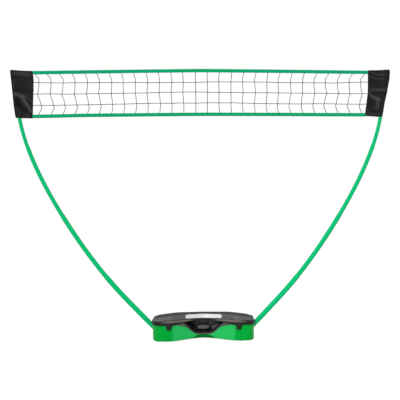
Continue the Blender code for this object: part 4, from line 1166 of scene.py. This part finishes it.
class NETSET_OT_label(bpy.types.Operator):
    """Model the pill-shaped plate on the lid's front slope, with a raised border"""
    bl_idname = "net_set.label"
    bl_label = "Label Plate"

    def execute(self, context):
        lower, upper = front_row(slope_level(0.0)), front_row(slope_level(1.0))
        slope = (point_at_x(upper, 0) - point_at_x(lower, 0)).length
        half_height = slope * (LABEL_LAST - LABEL_FIRST) / 2

        def on_lid(x, share, lift):
            across = point_at_x(lower, x + 0.001) - point_at_x(lower, x - 0.001)
            rise = point_at_x(upper, x) - point_at_x(lower, x)
            normal = across.cross(rise).normalized()
            return point_at_x(lower, x) + rise * share + normal * lift

        def pill(inset, lift):
            """The plate's outline moved inward, as columns from left to right and back."""
            reach = half_height - inset
            straight = LABEL_LENGTH / 2 - half_height
            ends = [(straight + reach * math.cos(math.radians(a)), math.sin(math.radians(a)))
                    for a in (0, 15, 30, 45, 60, 75)]
            right = ends + [(straight * i / 10, 1.0) for i in range(10, 0, -1)]
            columns = right + [(0.0, 1.0)] + [(-x, h) for x, h in reversed(right)]
            middle, half = (LABEL_FIRST + LABEL_LAST) / 2, reach / slope
            ring = [(x, middle + half * h) for x, h in columns]
            ring += [(x, middle - half * h) for x, h in reversed(columns[1:-1])]
            return [on_lid(x, share, lift) for x, share in ring]

        face = LABEL_GAP + LABEL_THICKNESS
        steps = ((0.0, LABEL_GAP), (0.0, face - 0.0004), (0.0004, face), (0.0018, face),
                 (0.0022, face - 0.0003))
        rings = [pill(inset, lift) for inset, lift in steps]
        plate = ringed(rings, "open")
        count = len(rings[0])
        close_across(plate, (slice(0, count), slice(-count, None)), pointed=True)
        dress(plate, "label_sheet", "label", "lid", "label_plate", smooth=40)
        return {"FINISHED"}


def housing_ring(half_width, bottom, top, depth):
    """A loop of the handle housing seen from the front: lower edge, then upper edge back."""
    steps = waist_stations()
    kept = min(0.100, 0.7 * half_width)
    squeeze = (half_width - kept) / (steps[-1] - kept)
    half = [x if x <= kept else kept + (x - kept) * squeeze for x in steps]
    stations = [-x for x in reversed(half[1:])] + half
    lower = [(x, depth(x), bottom(x)) for x in stations]
    upper = [(x, depth(x), top(x)) for x in stations]
    return lower + list(reversed(upper))


class NETSET_OT_housing(bpy.types.Operator):
    """Model the dark moulding in the notch, with its flange and the recess for the hand"""
    bl_idname = "net_set.housing"
    bl_label = "Handle Housing"

    def lip(self):
        """The rounded lip of the flange, which laps over the edge of the tub's notch."""
        rings = []
        steps = 58
        for i in range(-steps, steps + 1):
            x = 0.2215 * i / steps
            bulge = math.exp(-((abs(x) - 0.150) / 0.032) ** 2)
            drop = (0.0045 + 0.0110 * bulge) * smoothstep((0.2260 - abs(x)) / 0.030)
            low, high = notch_line(x) - drop, notch_line(x) + 0.004
            section = ((0.0003, low), (0.0018, low - 0.0002), (0.0032, low + 0.0014),
                       (0.0037, 0.5 * (low + high)), (0.0032, high - 0.0012), (0.0022, high),
                       (0.0003, high - 0.0005))
            rings.append([(x, front_line(x) - proud, z) for proud, z in section])
        return ringed(rings)

    def execute(self, context):
        end = WAIST_HALF_WIDTH - 0.0025

        def proud(amount):
            return lambda x: front_line(x) - amount

        def deep(share):
            return lambda x: front_line(x) * (1 - share) + RECESS_BACK * share

        def level(half_width, stretch, lift, drop, depth):
            return housing_ring(half_width, lambda x: notch_line(x * stretch) + lift,
                                lambda x: housing_top(x) - drop, depth)

        middle = 0.5 * (RECESS_HALF_WIDTH + RECESS_BACK_HALF_WIDTH)
        rings = [
            level(end, 1, 0.0005, -0.0005, proud(0.0005)),
            level(end - 0.0006, 1, 0.0010, 0.0003, proud(0.0019)),
            level(end - 0.0020, 1, 0.0026, 0.0015, proud(0.0026)),
            level(RECESS_HALF_WIDTH + 0.0048, 1, RECESS_LIP - 0.0026, 0.0031, proud(0.0026)),
            level(RECESS_HALF_WIDTH + 0.0020, 1, RECESS_LIP - 0.0008, 0.0038, proud(0.0021)),
            level(RECESS_HALF_WIDTH, 1, RECESS_LIP, 0.0045, proud(0.0)),
            level(0.5 * (middle + RECESS_HALF_WIDTH), 1.04, RECESS_LIP + 0.002, 0.0048, deep(0.28)),
            level(middle, 1.1, RECESS_LIP + 0.005, 0.0050, deep(0.55)),
            level(RECESS_BACK_HALF_WIDTH + 0.008, 1.22, RECESS_LIP + 0.008, 0.0060, deep(0.88)),
            level(RECESS_BACK_HALF_WIDTH, 1.3, RECESS_LIP + 0.012, 0.0070, deep(1.0)),
        ]
        housing = ringed(rings, "open")
        close_across(housing, (slice(-len(rings[-1]), None),))
        apply_modifier(housing, "SOLIDIFY", thickness=HOUSING_WALL, offset=-1.0)

        lug = arc(HANDLE_AXIS, 0.008, 180, 360, 14)
        lug += [(HANDLE_AXIS.x + 0.008, 0.1432), (HANDLE_AXIS.x - 0.008, 0.1432)]
        centres = (-ARM_OUTER - 0.0035, ARM_OUTER + 0.0035)
        combine(housing, [bar(lug, centre - 0.003, centre + 0.003) for centre in centres], "UNION")
        combine(housing, bores(HANDLE_AXIS, HANDLE_BORE, 20, centres, 0.008), "DIFFERENCE")
        housing = joined_pieces([housing, self.lip()])

        # Painted light: grey on the upper back wall of the recess, and a painted highlight along the front
        # of the lip
        def recess_painted_light(p):
            back = smoothstep((p.y + 0.055) / 0.03) * smoothstep((p.x + 0.065) / 0.03)
            back *= smoothstep((0.135 - p.x) / 0.04) * smoothstep((p.z - 0.070) / 0.02)
            return max(back, 0.6 * smoothstep((front_line(p.x) - p.y - 0.0027) / 0.0006))

        paint(housing, "recess_painted_light", recess_painted_light)
        dress(housing, "housing_moulding", "trim_plastic", "base", "handle_housing", smooth=32)
        return {"FINISHED"}


class NETSET_OT_handle(bpy.types.Operator):
    """Model the handle's bail and the ribbed soft grip on its bar"""
    bl_idname = "net_set.handle"
    bl_label = "Handle"

    def execute(self, context):
        bar_centre = (HANDLE_AXIS.x, HANDLE_AXIS.y - HANDLE_REACH)
        outline = arc(HANDLE_AXIS, ARM_RADIUS, 0, 180, 14) + arc(bar_centre, ARM_RADIUS, 180, 360, 14)
        arms = [bar(outline, -ARM_OUTER, -ARM_INNER), bar(outline, ARM_INNER, ARM_OUTER)]
        for arm in arms:
            round_edges(arm, 0.0009, 50, 3)
        rod = bar(round_outline(bar_centre, BAR_RADIUS, 24), -ARM_INNER - 0.003, ARM_INNER + 0.003)
        combine(arms[0], [arms[1], rod], "UNION")
        combine(arms[0], bores(HANDLE_AXIS, HANDLE_BORE, 20, (0,), 0.070), "DIFFERENCE")
        dress(arms[0], "bail_moulding", "trim_plastic", "handle", "handle_bail")

        reach = ARM_INNER - 0.0003
        rings = []
        steps = 40
        for i in range(steps + 1):
            share = 2 * i / steps - 1
            radius = GRIP_END + (GRIP_MIDDLE - GRIP_END) * (1 - share ** 2)
            if i in (0, steps):
                radius -= 0.0008
            elif 8 <= i <= steps - 8 and i % 4 == 0:
                radius -= 0.0009
            rings.append([(reach * share, y, z) for y, z in round_outline(bar_centre, radius, 32)])
        for x in (reach, -reach):
            rings.append([(x, y, z) for y, z in round_outline(bar_centre, BAR_RADIUS + 0.0004, 32)])
        grip = ringed(rings, "joined")
        dress(grip, "grip_moulding", "grip_rubber", "handle", "handle_grip", smooth=40)
        for side in ("left", "right"):
            keep(f"handle_pin_{side}", "pin_steel")
        return {"FINISHED"}


class NETSET_OT_latches(bpy.types.Operator):
    """Model the two latches that hook under the tub's keepers"""
    bl_idname = "net_set.latches"
    bl_label = "Latches"

    def execute(self, context):
        y, z = LATCH_AXIS
        outline = arc(LATCH_AXIS, 0.0045, -40, 200, 18)
        outline += [(y - 0.0036, 0.112), (y - 0.0030, 0.100), (y - 0.0012, 0.0920),
                    (y + 0.0010, 0.0900), (-0.1350, 0.0900), (-0.1350, 0.0928),
                    (y + 0.0022, 0.0946), (y + 0.0006, 0.100), (y, 0.112), (y + 0.0016, z - 0.0048)]
        latch = bar(outline, -LATCH_HALF_WIDTH, LATCH_HALF_WIDTH)
        round_edges(latch, 0.0007, 50)
        combine(latch, bores(LATCH_AXIS, LATCH_BORE, 16, (0,), 0.030), "DIFFERENCE")
        for vert in latch.data.vertices:
            vert.co.x *= 1 - LATCH_TAPER * clamp((z - vert.co.z) / LATCH_LENGTH)
        copies = copies_at(latch, [(centre, 0, 0) for centre in LATCH_CENTRES])
        for side, piece in zip(("left", "right"), copies):
            dress(piece, f"latch_moulding_{side}", "trim_plastic", f"latch_{side}", f"latch_{side}")
            keep(f"latch_pin_{side}", "pin_steel")
            keep(f"hinge_pin_{side}", "pin_steel")
        return {"FINISHED"}


class NETSET_OT_feet(bpy.types.Operator):
    """Model the push-in rubber feet and finish the pole sockets inside the tub"""
    bl_idname = "net_set.feet"
    bl_label = "Feet and Sockets"

    def execute(self, context):
        profile = ((0.0105, 0.0), (0.0120, 0.0004), (0.0128, 0.0012), (0.0130, 0.0030),
                   (0.0127, 0.0042), (0.0040, 0.0042), (0.0040, 0.0078), (0.0055, 0.0078),
                   (0.0050, 0.0095), (0.0030, 0.0125))
        foot = ringed([[(x, y, height) for x, y in round_outline((0, 0), radius, 32)]
                       for radius, height in profile])
        copies = copies_at(foot, [(x, y, 0) for x, y in FOOT_PLACES])
        for (x, y), piece in zip(FOOT_PLACES, copies):
            name = f"{'front' if y < 0 else 'rear'}_{side_name(x)}"
            dress(piece, f"rubber_foot_{name}", "foot_rubber", "base", f"foot_{name}")
        for side in ("left", "right"):
            keep(f"pole_socket_{side}", "trim_plastic")
        return {"FINISHED"}


class NETSET_OT_poles(bpy.types.Operator):
    """Model the bowed pole sections with their end fittings"""
    bl_idname = "net_set.poles"
    bl_label = "Poles"

    def section(self, side, number, sides):
        radius = POLE_RADII[number]
        start = JOINTS[number] - PLUG_OVERLAP if number else POLE_FOOT + 0.0023
        end = JOINTS[number + 1] if number < 3 else JOINTS[4] - 0.006
        bore = POLE_RADII[number + 1] + 0.0003 if number < 3 else radius - POLE_WALL
        steps = 24
        stations = [start + (end - start) * i / steps for i in range(steps + 1)]
        outer = [(start, radius - 0.0006), (start + 0.0004, radius - 0.0001)]
        outer += [(s, radius) for s in stations[1:-1]]
        outer += [(end - 0.0012, radius), (end - 0.0004, radius - 0.0003), (end, radius - 0.0009)]
        inner = [(end, bore + 0.0002)] + [(s, bore) for s in reversed(stations[1:-1])]
        inner += [(start, bore)]
        return ringed([pole_ring(side, s, r + pole_swell(s), sides) for s, r in outer + inner],
                      "joined")

    def execute(self, context):
        sides = context.scene.net_set_sizes.pole_sides
        tip = JOINTS[4] - 0.0001
        wide, inner = POLE_RADII[0], POLE_RADII[1]
        plug = ((0.0, wide - 0.0015), (0.0006, wide - 0.0004), (0.0012, wide), (0.002, wide),
                (0.002, inner), (0.018, inner), (0.020, inner - 0.002))
        head, stem = POLE_RADII[3], POLE_RADII[3] - POLE_WALL - 0.0003
        cap = ((-0.024, stem - 0.001), (-0.022, stem), (-0.0056, stem), (-0.0056, head),
               (-0.0034, head), (-0.0020, head * 0.93), (-0.0009, head * 0.76),
               (-0.0002, head * 0.48), (0.0, head * 0.19))
        for side in (-1, 1):
            label = side_name(side)
            body = f"pole_{label}"
            for number in range(4):
                dress(self.section(side, number, sides), f"tube_{label}_{number + 1}", "pole_tube",
                      body, f"pole_{label}_section_{number + 1}", smooth=45)
            for name, end, profile in (("foot_plug", POLE_FOOT, plug), ("tip_cap", tip, cap)):
                fitting = ringed([pole_ring(side, end + s, r, sides) for s, r in profile])
                dress(fitting, f"moulded_{name}_{label}", "trim_plastic", body,
                      f"pole_{label}_{name}", smooth=45)
            keep(f"shock_cord_{label}", "elastic_cord")
        return {"FINISHED"}


def net_knots():
    """X of the columns, and the places of the knots by row: slightly uneven, with each row's ends
    drawn in or out. The first row rises at its ends."""
    uneven = random.Random(11)
    columns = [(j - (NET_COLUMNS - 1) / 2) * NET_PITCH for j in range(NET_COLUMNS)]
    rows = []
    for line, pixels, rise in zip(ROW_LINES, ROW_PULLS, (ROW_RISE, 0.0, 0.0)):
        step = 0.0
        places = []
        for x in columns:
            if uneven.random() < 0.35:
                step = uneven.choice((-1, 1)) * 0.0016
            pull = -pixels * x / NET_HALF_WIDTH * PIXEL
            lift = rise * smoothstep((abs(x) - 1.02) / 0.16)
            places.append(Vector((x + pull + uneven.uniform(-0.0035, 0.0035),
                                  uneven.uniform(-0.001, 0.001), bowed(line, x) + step + lift)))
        rows.append(places)
    return columns, rows


def add_cord(curve, points):
    """One smooth strand through points."""
    spline = curve.splines.new("NURBS")
    spline.points.add(len(points) - 1)
    for target, point in zip(spline.points, points):
        target.co = (*point, 1.0)
    spline.order_u = 3
    spline.use_endpoint_u = True
    spline.resolution_u = 2


class NETSET_OT_net(bpy.types.Operator):
    """Model the net's strands and the knots where they cross"""
    bl_idname = "net_set.net"
    bl_label = "Net"

    def execute(self, context):
        sizes = context.scene.net_set_sizes
        uneven = random.Random(5)
        columns, rows = net_knots()
        curve = bpy.data.curves.new("strands", "CURVE")
        curve.dimensions = "3D"
        curve.bevel_depth = sizes.strand_radius
        curve.bevel_resolution = 1
        curve.use_fill_caps = True

        def drift(amount):
            return uneven.uniform(-amount, amount)

        def between(start, end, share, pull, wander):
            """A point between two knots, pulled towards the net's middle, that wanders a little."""
            return start.lerp(end, share) + Vector((inward * pull + drift(wander), drift(0.001), 0))

        for j, x in enumerate(columns):
            inward = -x / NET_HALF_WIDTH
            top_x = x * TOP_LEAN + drift(0.002)
            top = Vector((top_x, 0, bowed(TOP_TAPE_LINE, top_x) - TAPE_HEIGHT + 0.008))
            low_x = x * BOTTOM_LEAN + drift(0.003)
            low = Vector((low_x, 0, bowed(BOTTOM_TAPE_LINE, low_x) + TAPE_HEIGHT - 0.008))
            first, second, third = (rows[k][j] for k in range(3))
            add_cord(curve, [
                top,
                between(top, first, 0.28, 0, 0.001),
                Vector((first.x + inward * 0.003 + drift(0.001), drift(0.001), first.z + 0.026)),
                Vector((first.x + drift(0.0008), 0, first.z + 0.010)),
                first,
                between(first, second, 0.35, 0.004, 0.002),
                between(first, second, 0.78, 0.003, 0.001),
                second,
                between(second, third, 0.30, 0.002, 0.002),
                between(second, third, 0.62, 0.005, 0.0015),
                third,
                Vector((third.x + inward * 0.009 + drift(0.001), 0, third.z - 0.018)),
                between(third, low, 0.62, 0.006, 0.001),
                low,
            ])
        for row in rows:
            left, right = (Vector((end_in_sleeve(side, place.z), 0, place.z))
                           for side, place in ((-1, row[0]), (1, row[-1])))
            points = [left]
            for start, end in zip([left] + row, row + [right]):
                for share in (0.35, 0.70):
                    points.append(start.lerp(end, share) + Vector((0, drift(0.001), drift(0.0012))))
                points.append(end)
            add_cord(curve, points)
        strands = bpy.data.objects.new("strands", curve)
        context.collection.objects.link(strands)
        select_only(strands)
        bpy.ops.object.convert(target="MESH")
        strands = context.object

        knot = opened(bpy.ops.mesh.primitive_uv_sphere_add, segments=8, ring_count=6,
                      radius=sizes.knot_radius)
        bpy.ops.mesh.select_all(action="SELECT")
        bpy.ops.transform.resize(value=(0.95, 0.75, 1.1))
        bpy.ops.object.mode_set(mode="OBJECT")
        knots = joined_pieces(copies_at(knot, sum(rows, [])))
        dress(strands, "net_strands", "net_cord", "net", "net_mesh", smooth=60)
        dress(knots, "net_knots", "net_cord", "net", smooth=60)
        return {"FINISHED"}


class NETSET_OT_tapes(bpy.types.Operator):
    """Model the folded tapes along the net's upper and lower edge"""
    bl_idname = "net_set.tapes"
    bl_label = "Tapes"

    def execute(self, context):
        half = [(0.0013, 0.010), (0.0013, -0.0020), (0.0026, -0.0018), (0.0029, 0.004),
                (0.0026, 0.0054), (0.0031, 0.0070), (0.0032, 0.014), (0.0030, 0.0204),
                (0.0020, 0.0230)]
        outline = half + [(0.0, TAPE_HEIGHT + 0.0010)] + [(-y, z) for y, z in reversed(half)]
        for name, line, way in (("top", TOP_TAPE_LINE, 1), ("bottom", BOTTOM_TAPE_LINE, -1)):
            middle = line[0] - 0.5 * way * TAPE_HEIGHT
            first, last = end_in_sleeve(-1, middle), end_in_sleeve(1, middle)
            rings = []
            steps = 160
            for i in range(steps + 1):
                x = first + (last - first) * i / steps
                wave = 0.0004 * noise.noise(Vector((x * 9, line[0], 0)))
                sway = 0.0008 * noise.noise(Vector((x * 5, line[0], 7)))
                sag = 0.0035 * smoothstep((-x - 0.85) / 0.35) if name == "bottom" else 0.0
                rings.append([(x, y + sway, bowed(line, x) - sag + way * (z - TAPE_HEIGHT + wave))
                              for y, z in outline])
            tape = ringed(rings)
            dress(tape,f"woven_tape_{name}", "tape_webbing", "net", f"net_{name}_tape", smooth=50)
        return {"FINISHED"}


# Folds of the sleeves' fabric. Each has points in picture pixels, a height (negative for a valley)
# and a half-width in metres, and the strength of its painted sheen, negative for painted shade.
LEFT_FOLDS = (
    (((14.5, 94), (19, 95), (22, 97), (24, 100), (28, 106), (31, 110.5)), 0.0050, 0.0120, 1.0),
    (((22, 95), (27, 98), (31, 101)), 0.0028, 0.0075, 0.55),
    (((16, 73.5), (22, 73.5), (29, 74.5)), 0.0022, 0.0150, 0.45),
    (((13, 80), (15, 88), (17, 91)), 0.0015, 0.0070, 0.30),
    (((19, 116), (20, 112), (18, 108)), 0.0020, 0.0050, 0.35),
    (((24, 113), (29, 116)), 0.0015, 0.0050, 0.30),
    (((27, 98.5), (31, 103)), -0.0020, 0.0070, -0.65),
    (((17, 100), (19, 105), (25, 110)), -0.0030, 0.0190, -0.80),
    (((14, 89), (22, 90), (32, 92)), -0.0020, 0.0120, -0.45),
    (((14, 78.5), (31, 79)), -0.0010, 0.0100, -0.25),
)
RIGHT_FOLDS = (
    (((369.5, 94), (372, 97), (375, 98.5), (379, 100.5)), 0.0045, 0.0110, 1.0),
    (((377.5, 101), (377.5, 107), (376.5, 110)), 0.0025, 0.0120, 0.60),
    (((370, 72), (378, 75), (385, 75.5)), 0.0020, 0.0060, 0.50),
    (((372, 77), (379, 79), (384, 79.5)), 0.0020, 0.0060, 0.45),
    (((369, 90), (376, 90.5), (385, 90.5)), 0.0015, 0.0110, 0.45),
    (((367, 115), (374, 115), (380, 115)), 0.0012, 0.0070, 0.40),
    (((371, 74.5), (378, 77), (386, 77.5)), -0.0018, 0.0050, -0.55),
    (((369, 97), (371, 103), (370, 108)), -0.0022, 0.0130, -0.50),
    (((368, 110.5), (374, 112), (381, 111)), -0.0020, 0.0080, -0.55),
    (((370, 94), (377, 94), (385, 95)), -0.0015, 0.0070, -0.50),
    (((371, 82), (379, 84), (386, 83)), -0.0010, 0.0120, -0.20),
)


def fold_at(point, folds):
    """How far the folds lift the fabric at a point given as (X, Z), and how much painted sheen they give
    it, negative for painted shade.
    """
    lift = tone = 0.0
    for path, height, width, shade in folds:
        places = [Vector(((px - PICTURE_MIDDLE) * PIXEL, CAMERA_HEIGHT + (PICTURE_MIDDLE - py) * PIXEL))
                  for px, py in path]
        nearest = 1.0
        for start, end in zip(places, places[1:]):
            along = end - start
            share = clamp((point - start).dot(along) / along.length_squared)
            nearest = min(nearest, (point - start - along * share).length)
        reach = math.exp(-(nearest / width) ** 2)
        lift += height * reach
        tone += shade * reach
    return lift, tone


class NETSET_OT_sleeves(bpy.types.Operator):
    """Model the fabric sleeves that slip over the pole tips"""
    bl_idname = "net_set.sleeves"
    bl_label = "Sleeves"

    across = 44
    levels = 76
    seam = 0.0016
    belly = 0.0124
    flat_from = 0.055

    def half_thickness(self, offset, outer):
        """Half the sleeve's thickness at a distance from the pole's centre, outward positive. The
        fabric bellies round the pole and is flat from a short way inward of it."""
        if offset >= 0:
            return self.seam + self.belly * math.sqrt(max(0.0, 1 - (offset / outer) ** 2.2))
        share = min(1.0, -offset / self.flat_from)
        return self.seam + self.belly * (1 - share) ** 2 * (1 + 2 * share)

    def ring(self, side, level):
        """One level of the sleeve: the front from the outer seam to the net, then the back, which
        has the same folds upside down. Beside each point stand its painted sheen and its painted shade."""
        folds = LEFT_FOLDS if side < 0 else RIGHT_FOLDS
        hem, top = SLEEVE_SLANT[side]
        middle = SLEEVE_BOTTOM + (SLEEVE_TOP - SLEEVE_BOTTOM) * level
        inner, outer = sleeve_outline(side, middle)
        off_hems = min(1.0, level / 0.06, (1 - level) / 0.06)
        front, back = [], []
        for i in range(self.across + 1):
            share = i / self.across
            x = outer + (inner - outer) * share
            # The corners of the outer seam are rounded
            corner = 0.006 * max(0.0, 1 - share / 0.06) ** 2
            low = hem[0] + (hem[1] - hem[0]) * share + corner
            high = top[0] + (top[1] - top[0]) * share - corner
            height = low + (high - low) * level
            centre = pole_x(height)
            half = self.half_thickness(x - centre, outer - centre)
            pole = math.sqrt(max(0.0, (POLE_RADII[3] + 0.0026) ** 2 - (x - centre) ** 2))
            # Folds and wrinkles fade out at the seams, and partly at the hems
            off_seams = min(1.0, share / 0.10, (1 - share) / 0.08)
            puff = off_seams * (0.35 + 0.65 * off_hems)
            sway = 0.004 * math.sin(math.pi * share) * math.sin(5.5 * level + 4.0 * share + 1.1 * side)
            fine = 0.0012 * noise.noise(Vector((side * x * 38, height * 30, 3)))
            # Painted shade along the seams and the top edge
            seam = max(smoothstep((0.10 - share) / 0.04), smoothstep((share - 0.945) / 0.03),
                       smoothstep((level - 0.968) / 0.016))
            turned = SLEEVE_BOTTOM + SLEEVE_TOP - height
            for points, way, look, strength in ((front, -1, height, 1.0), (back, 1, turned, 0.6)):
                fold, tone = fold_at(Vector((side * x, look)), folds)
                depth = max(pole, half + way * sway + (strength * fold + fine) * puff)
                points.append((Vector((side * x, way * depth, height)), clamp(tone) * (1 - seam),
                               max(seam, clamp(-tone))))
        return front + list(reversed(back))

    def execute(self, context):
        thickness = context.scene.net_set_sizes.sleeve_fabric
        for side in (-1, 1):
            label = side_name(side)
            looks = [self.ring(side, i / self.levels) for i in range(self.levels + 1)]
            rings = [[vertex[0] for vertex in look] for look in looks]
            sleeve = ringed(rings, "open")
            for name, index in (("painted_sheen", 1), ("painted_shade", 2)):
                layer = sleeve.data.attributes.new(name, "FLOAT", "POINT")
                layer.data.foreach_set("value", [vertex[index] for look in looks for vertex in look])
            close_across(sleeve, (slice(-len(rings[-1]), None),))
            apply_modifier(sleeve, "SOLIDIFY", thickness=thickness, offset=-1.0)
            dress(sleeve, f"sleeve_{label}", "sleeve_fabric", "net", f"net_sleeve_{label}", smooth=60)
        return {"FINISHED"}


BUILD_ORDER = (NETSET_OT_stage, NETSET_OT_tub, NETSET_OT_lid, NETSET_OT_label, NETSET_OT_housing,
               NETSET_OT_handle, NETSET_OT_latches, NETSET_OT_feet, NETSET_OT_poles, NETSET_OT_net,
               NETSET_OT_tapes, NETSET_OT_sleeves)


class NETSET_PT_panel(bpy.types.Panel):
    """Lists the sizes, the colours and the operators in the order in which they are run"""
    bl_idname = "NETSET_PT_panel"
    bl_label = "Badminton Net Set"
    bl_space_type = "VIEW_3D"
    bl_region_type = "UI"
    bl_category = "Net Set"

    def draw(self, context):
        column = self.layout.column()
        for settings in (context.scene.net_set_sizes, context.scene.net_set_colours):
            for key in settings.bl_rna.properties.keys():
                if key not in ("rna_type", "name"):
                    column.prop(settings, key)
        for operator in BUILD_ORDER:
            column.operator(operator.bl_idname)


CLASSES = (NetSetSizes, NetSetColours, *BUILD_ORDER, NETSET_PT_panel)


def register():
    for item in CLASSES:
        bpy.utils.register_class(item)
    bpy.types.Scene.net_set_sizes = bpy.props.PointerProperty(type=NetSetSizes)
    bpy.types.Scene.net_set_colours = bpy.props.PointerProperty(type=NetSetColours)


def unregister():
    del bpy.types.Scene.net_set_sizes
    del bpy.types.Scene.net_set_colours
    for item in reversed(CLASSES):
        bpy.utils.unregister_class(item)


def main():
    register()
    for operator in BUILD_ORDER:
        group, name = operator.bl_idname.split(".")
        getattr(getattr(bpy.ops, group), name)()


if __name__ == "__main__":
    main()
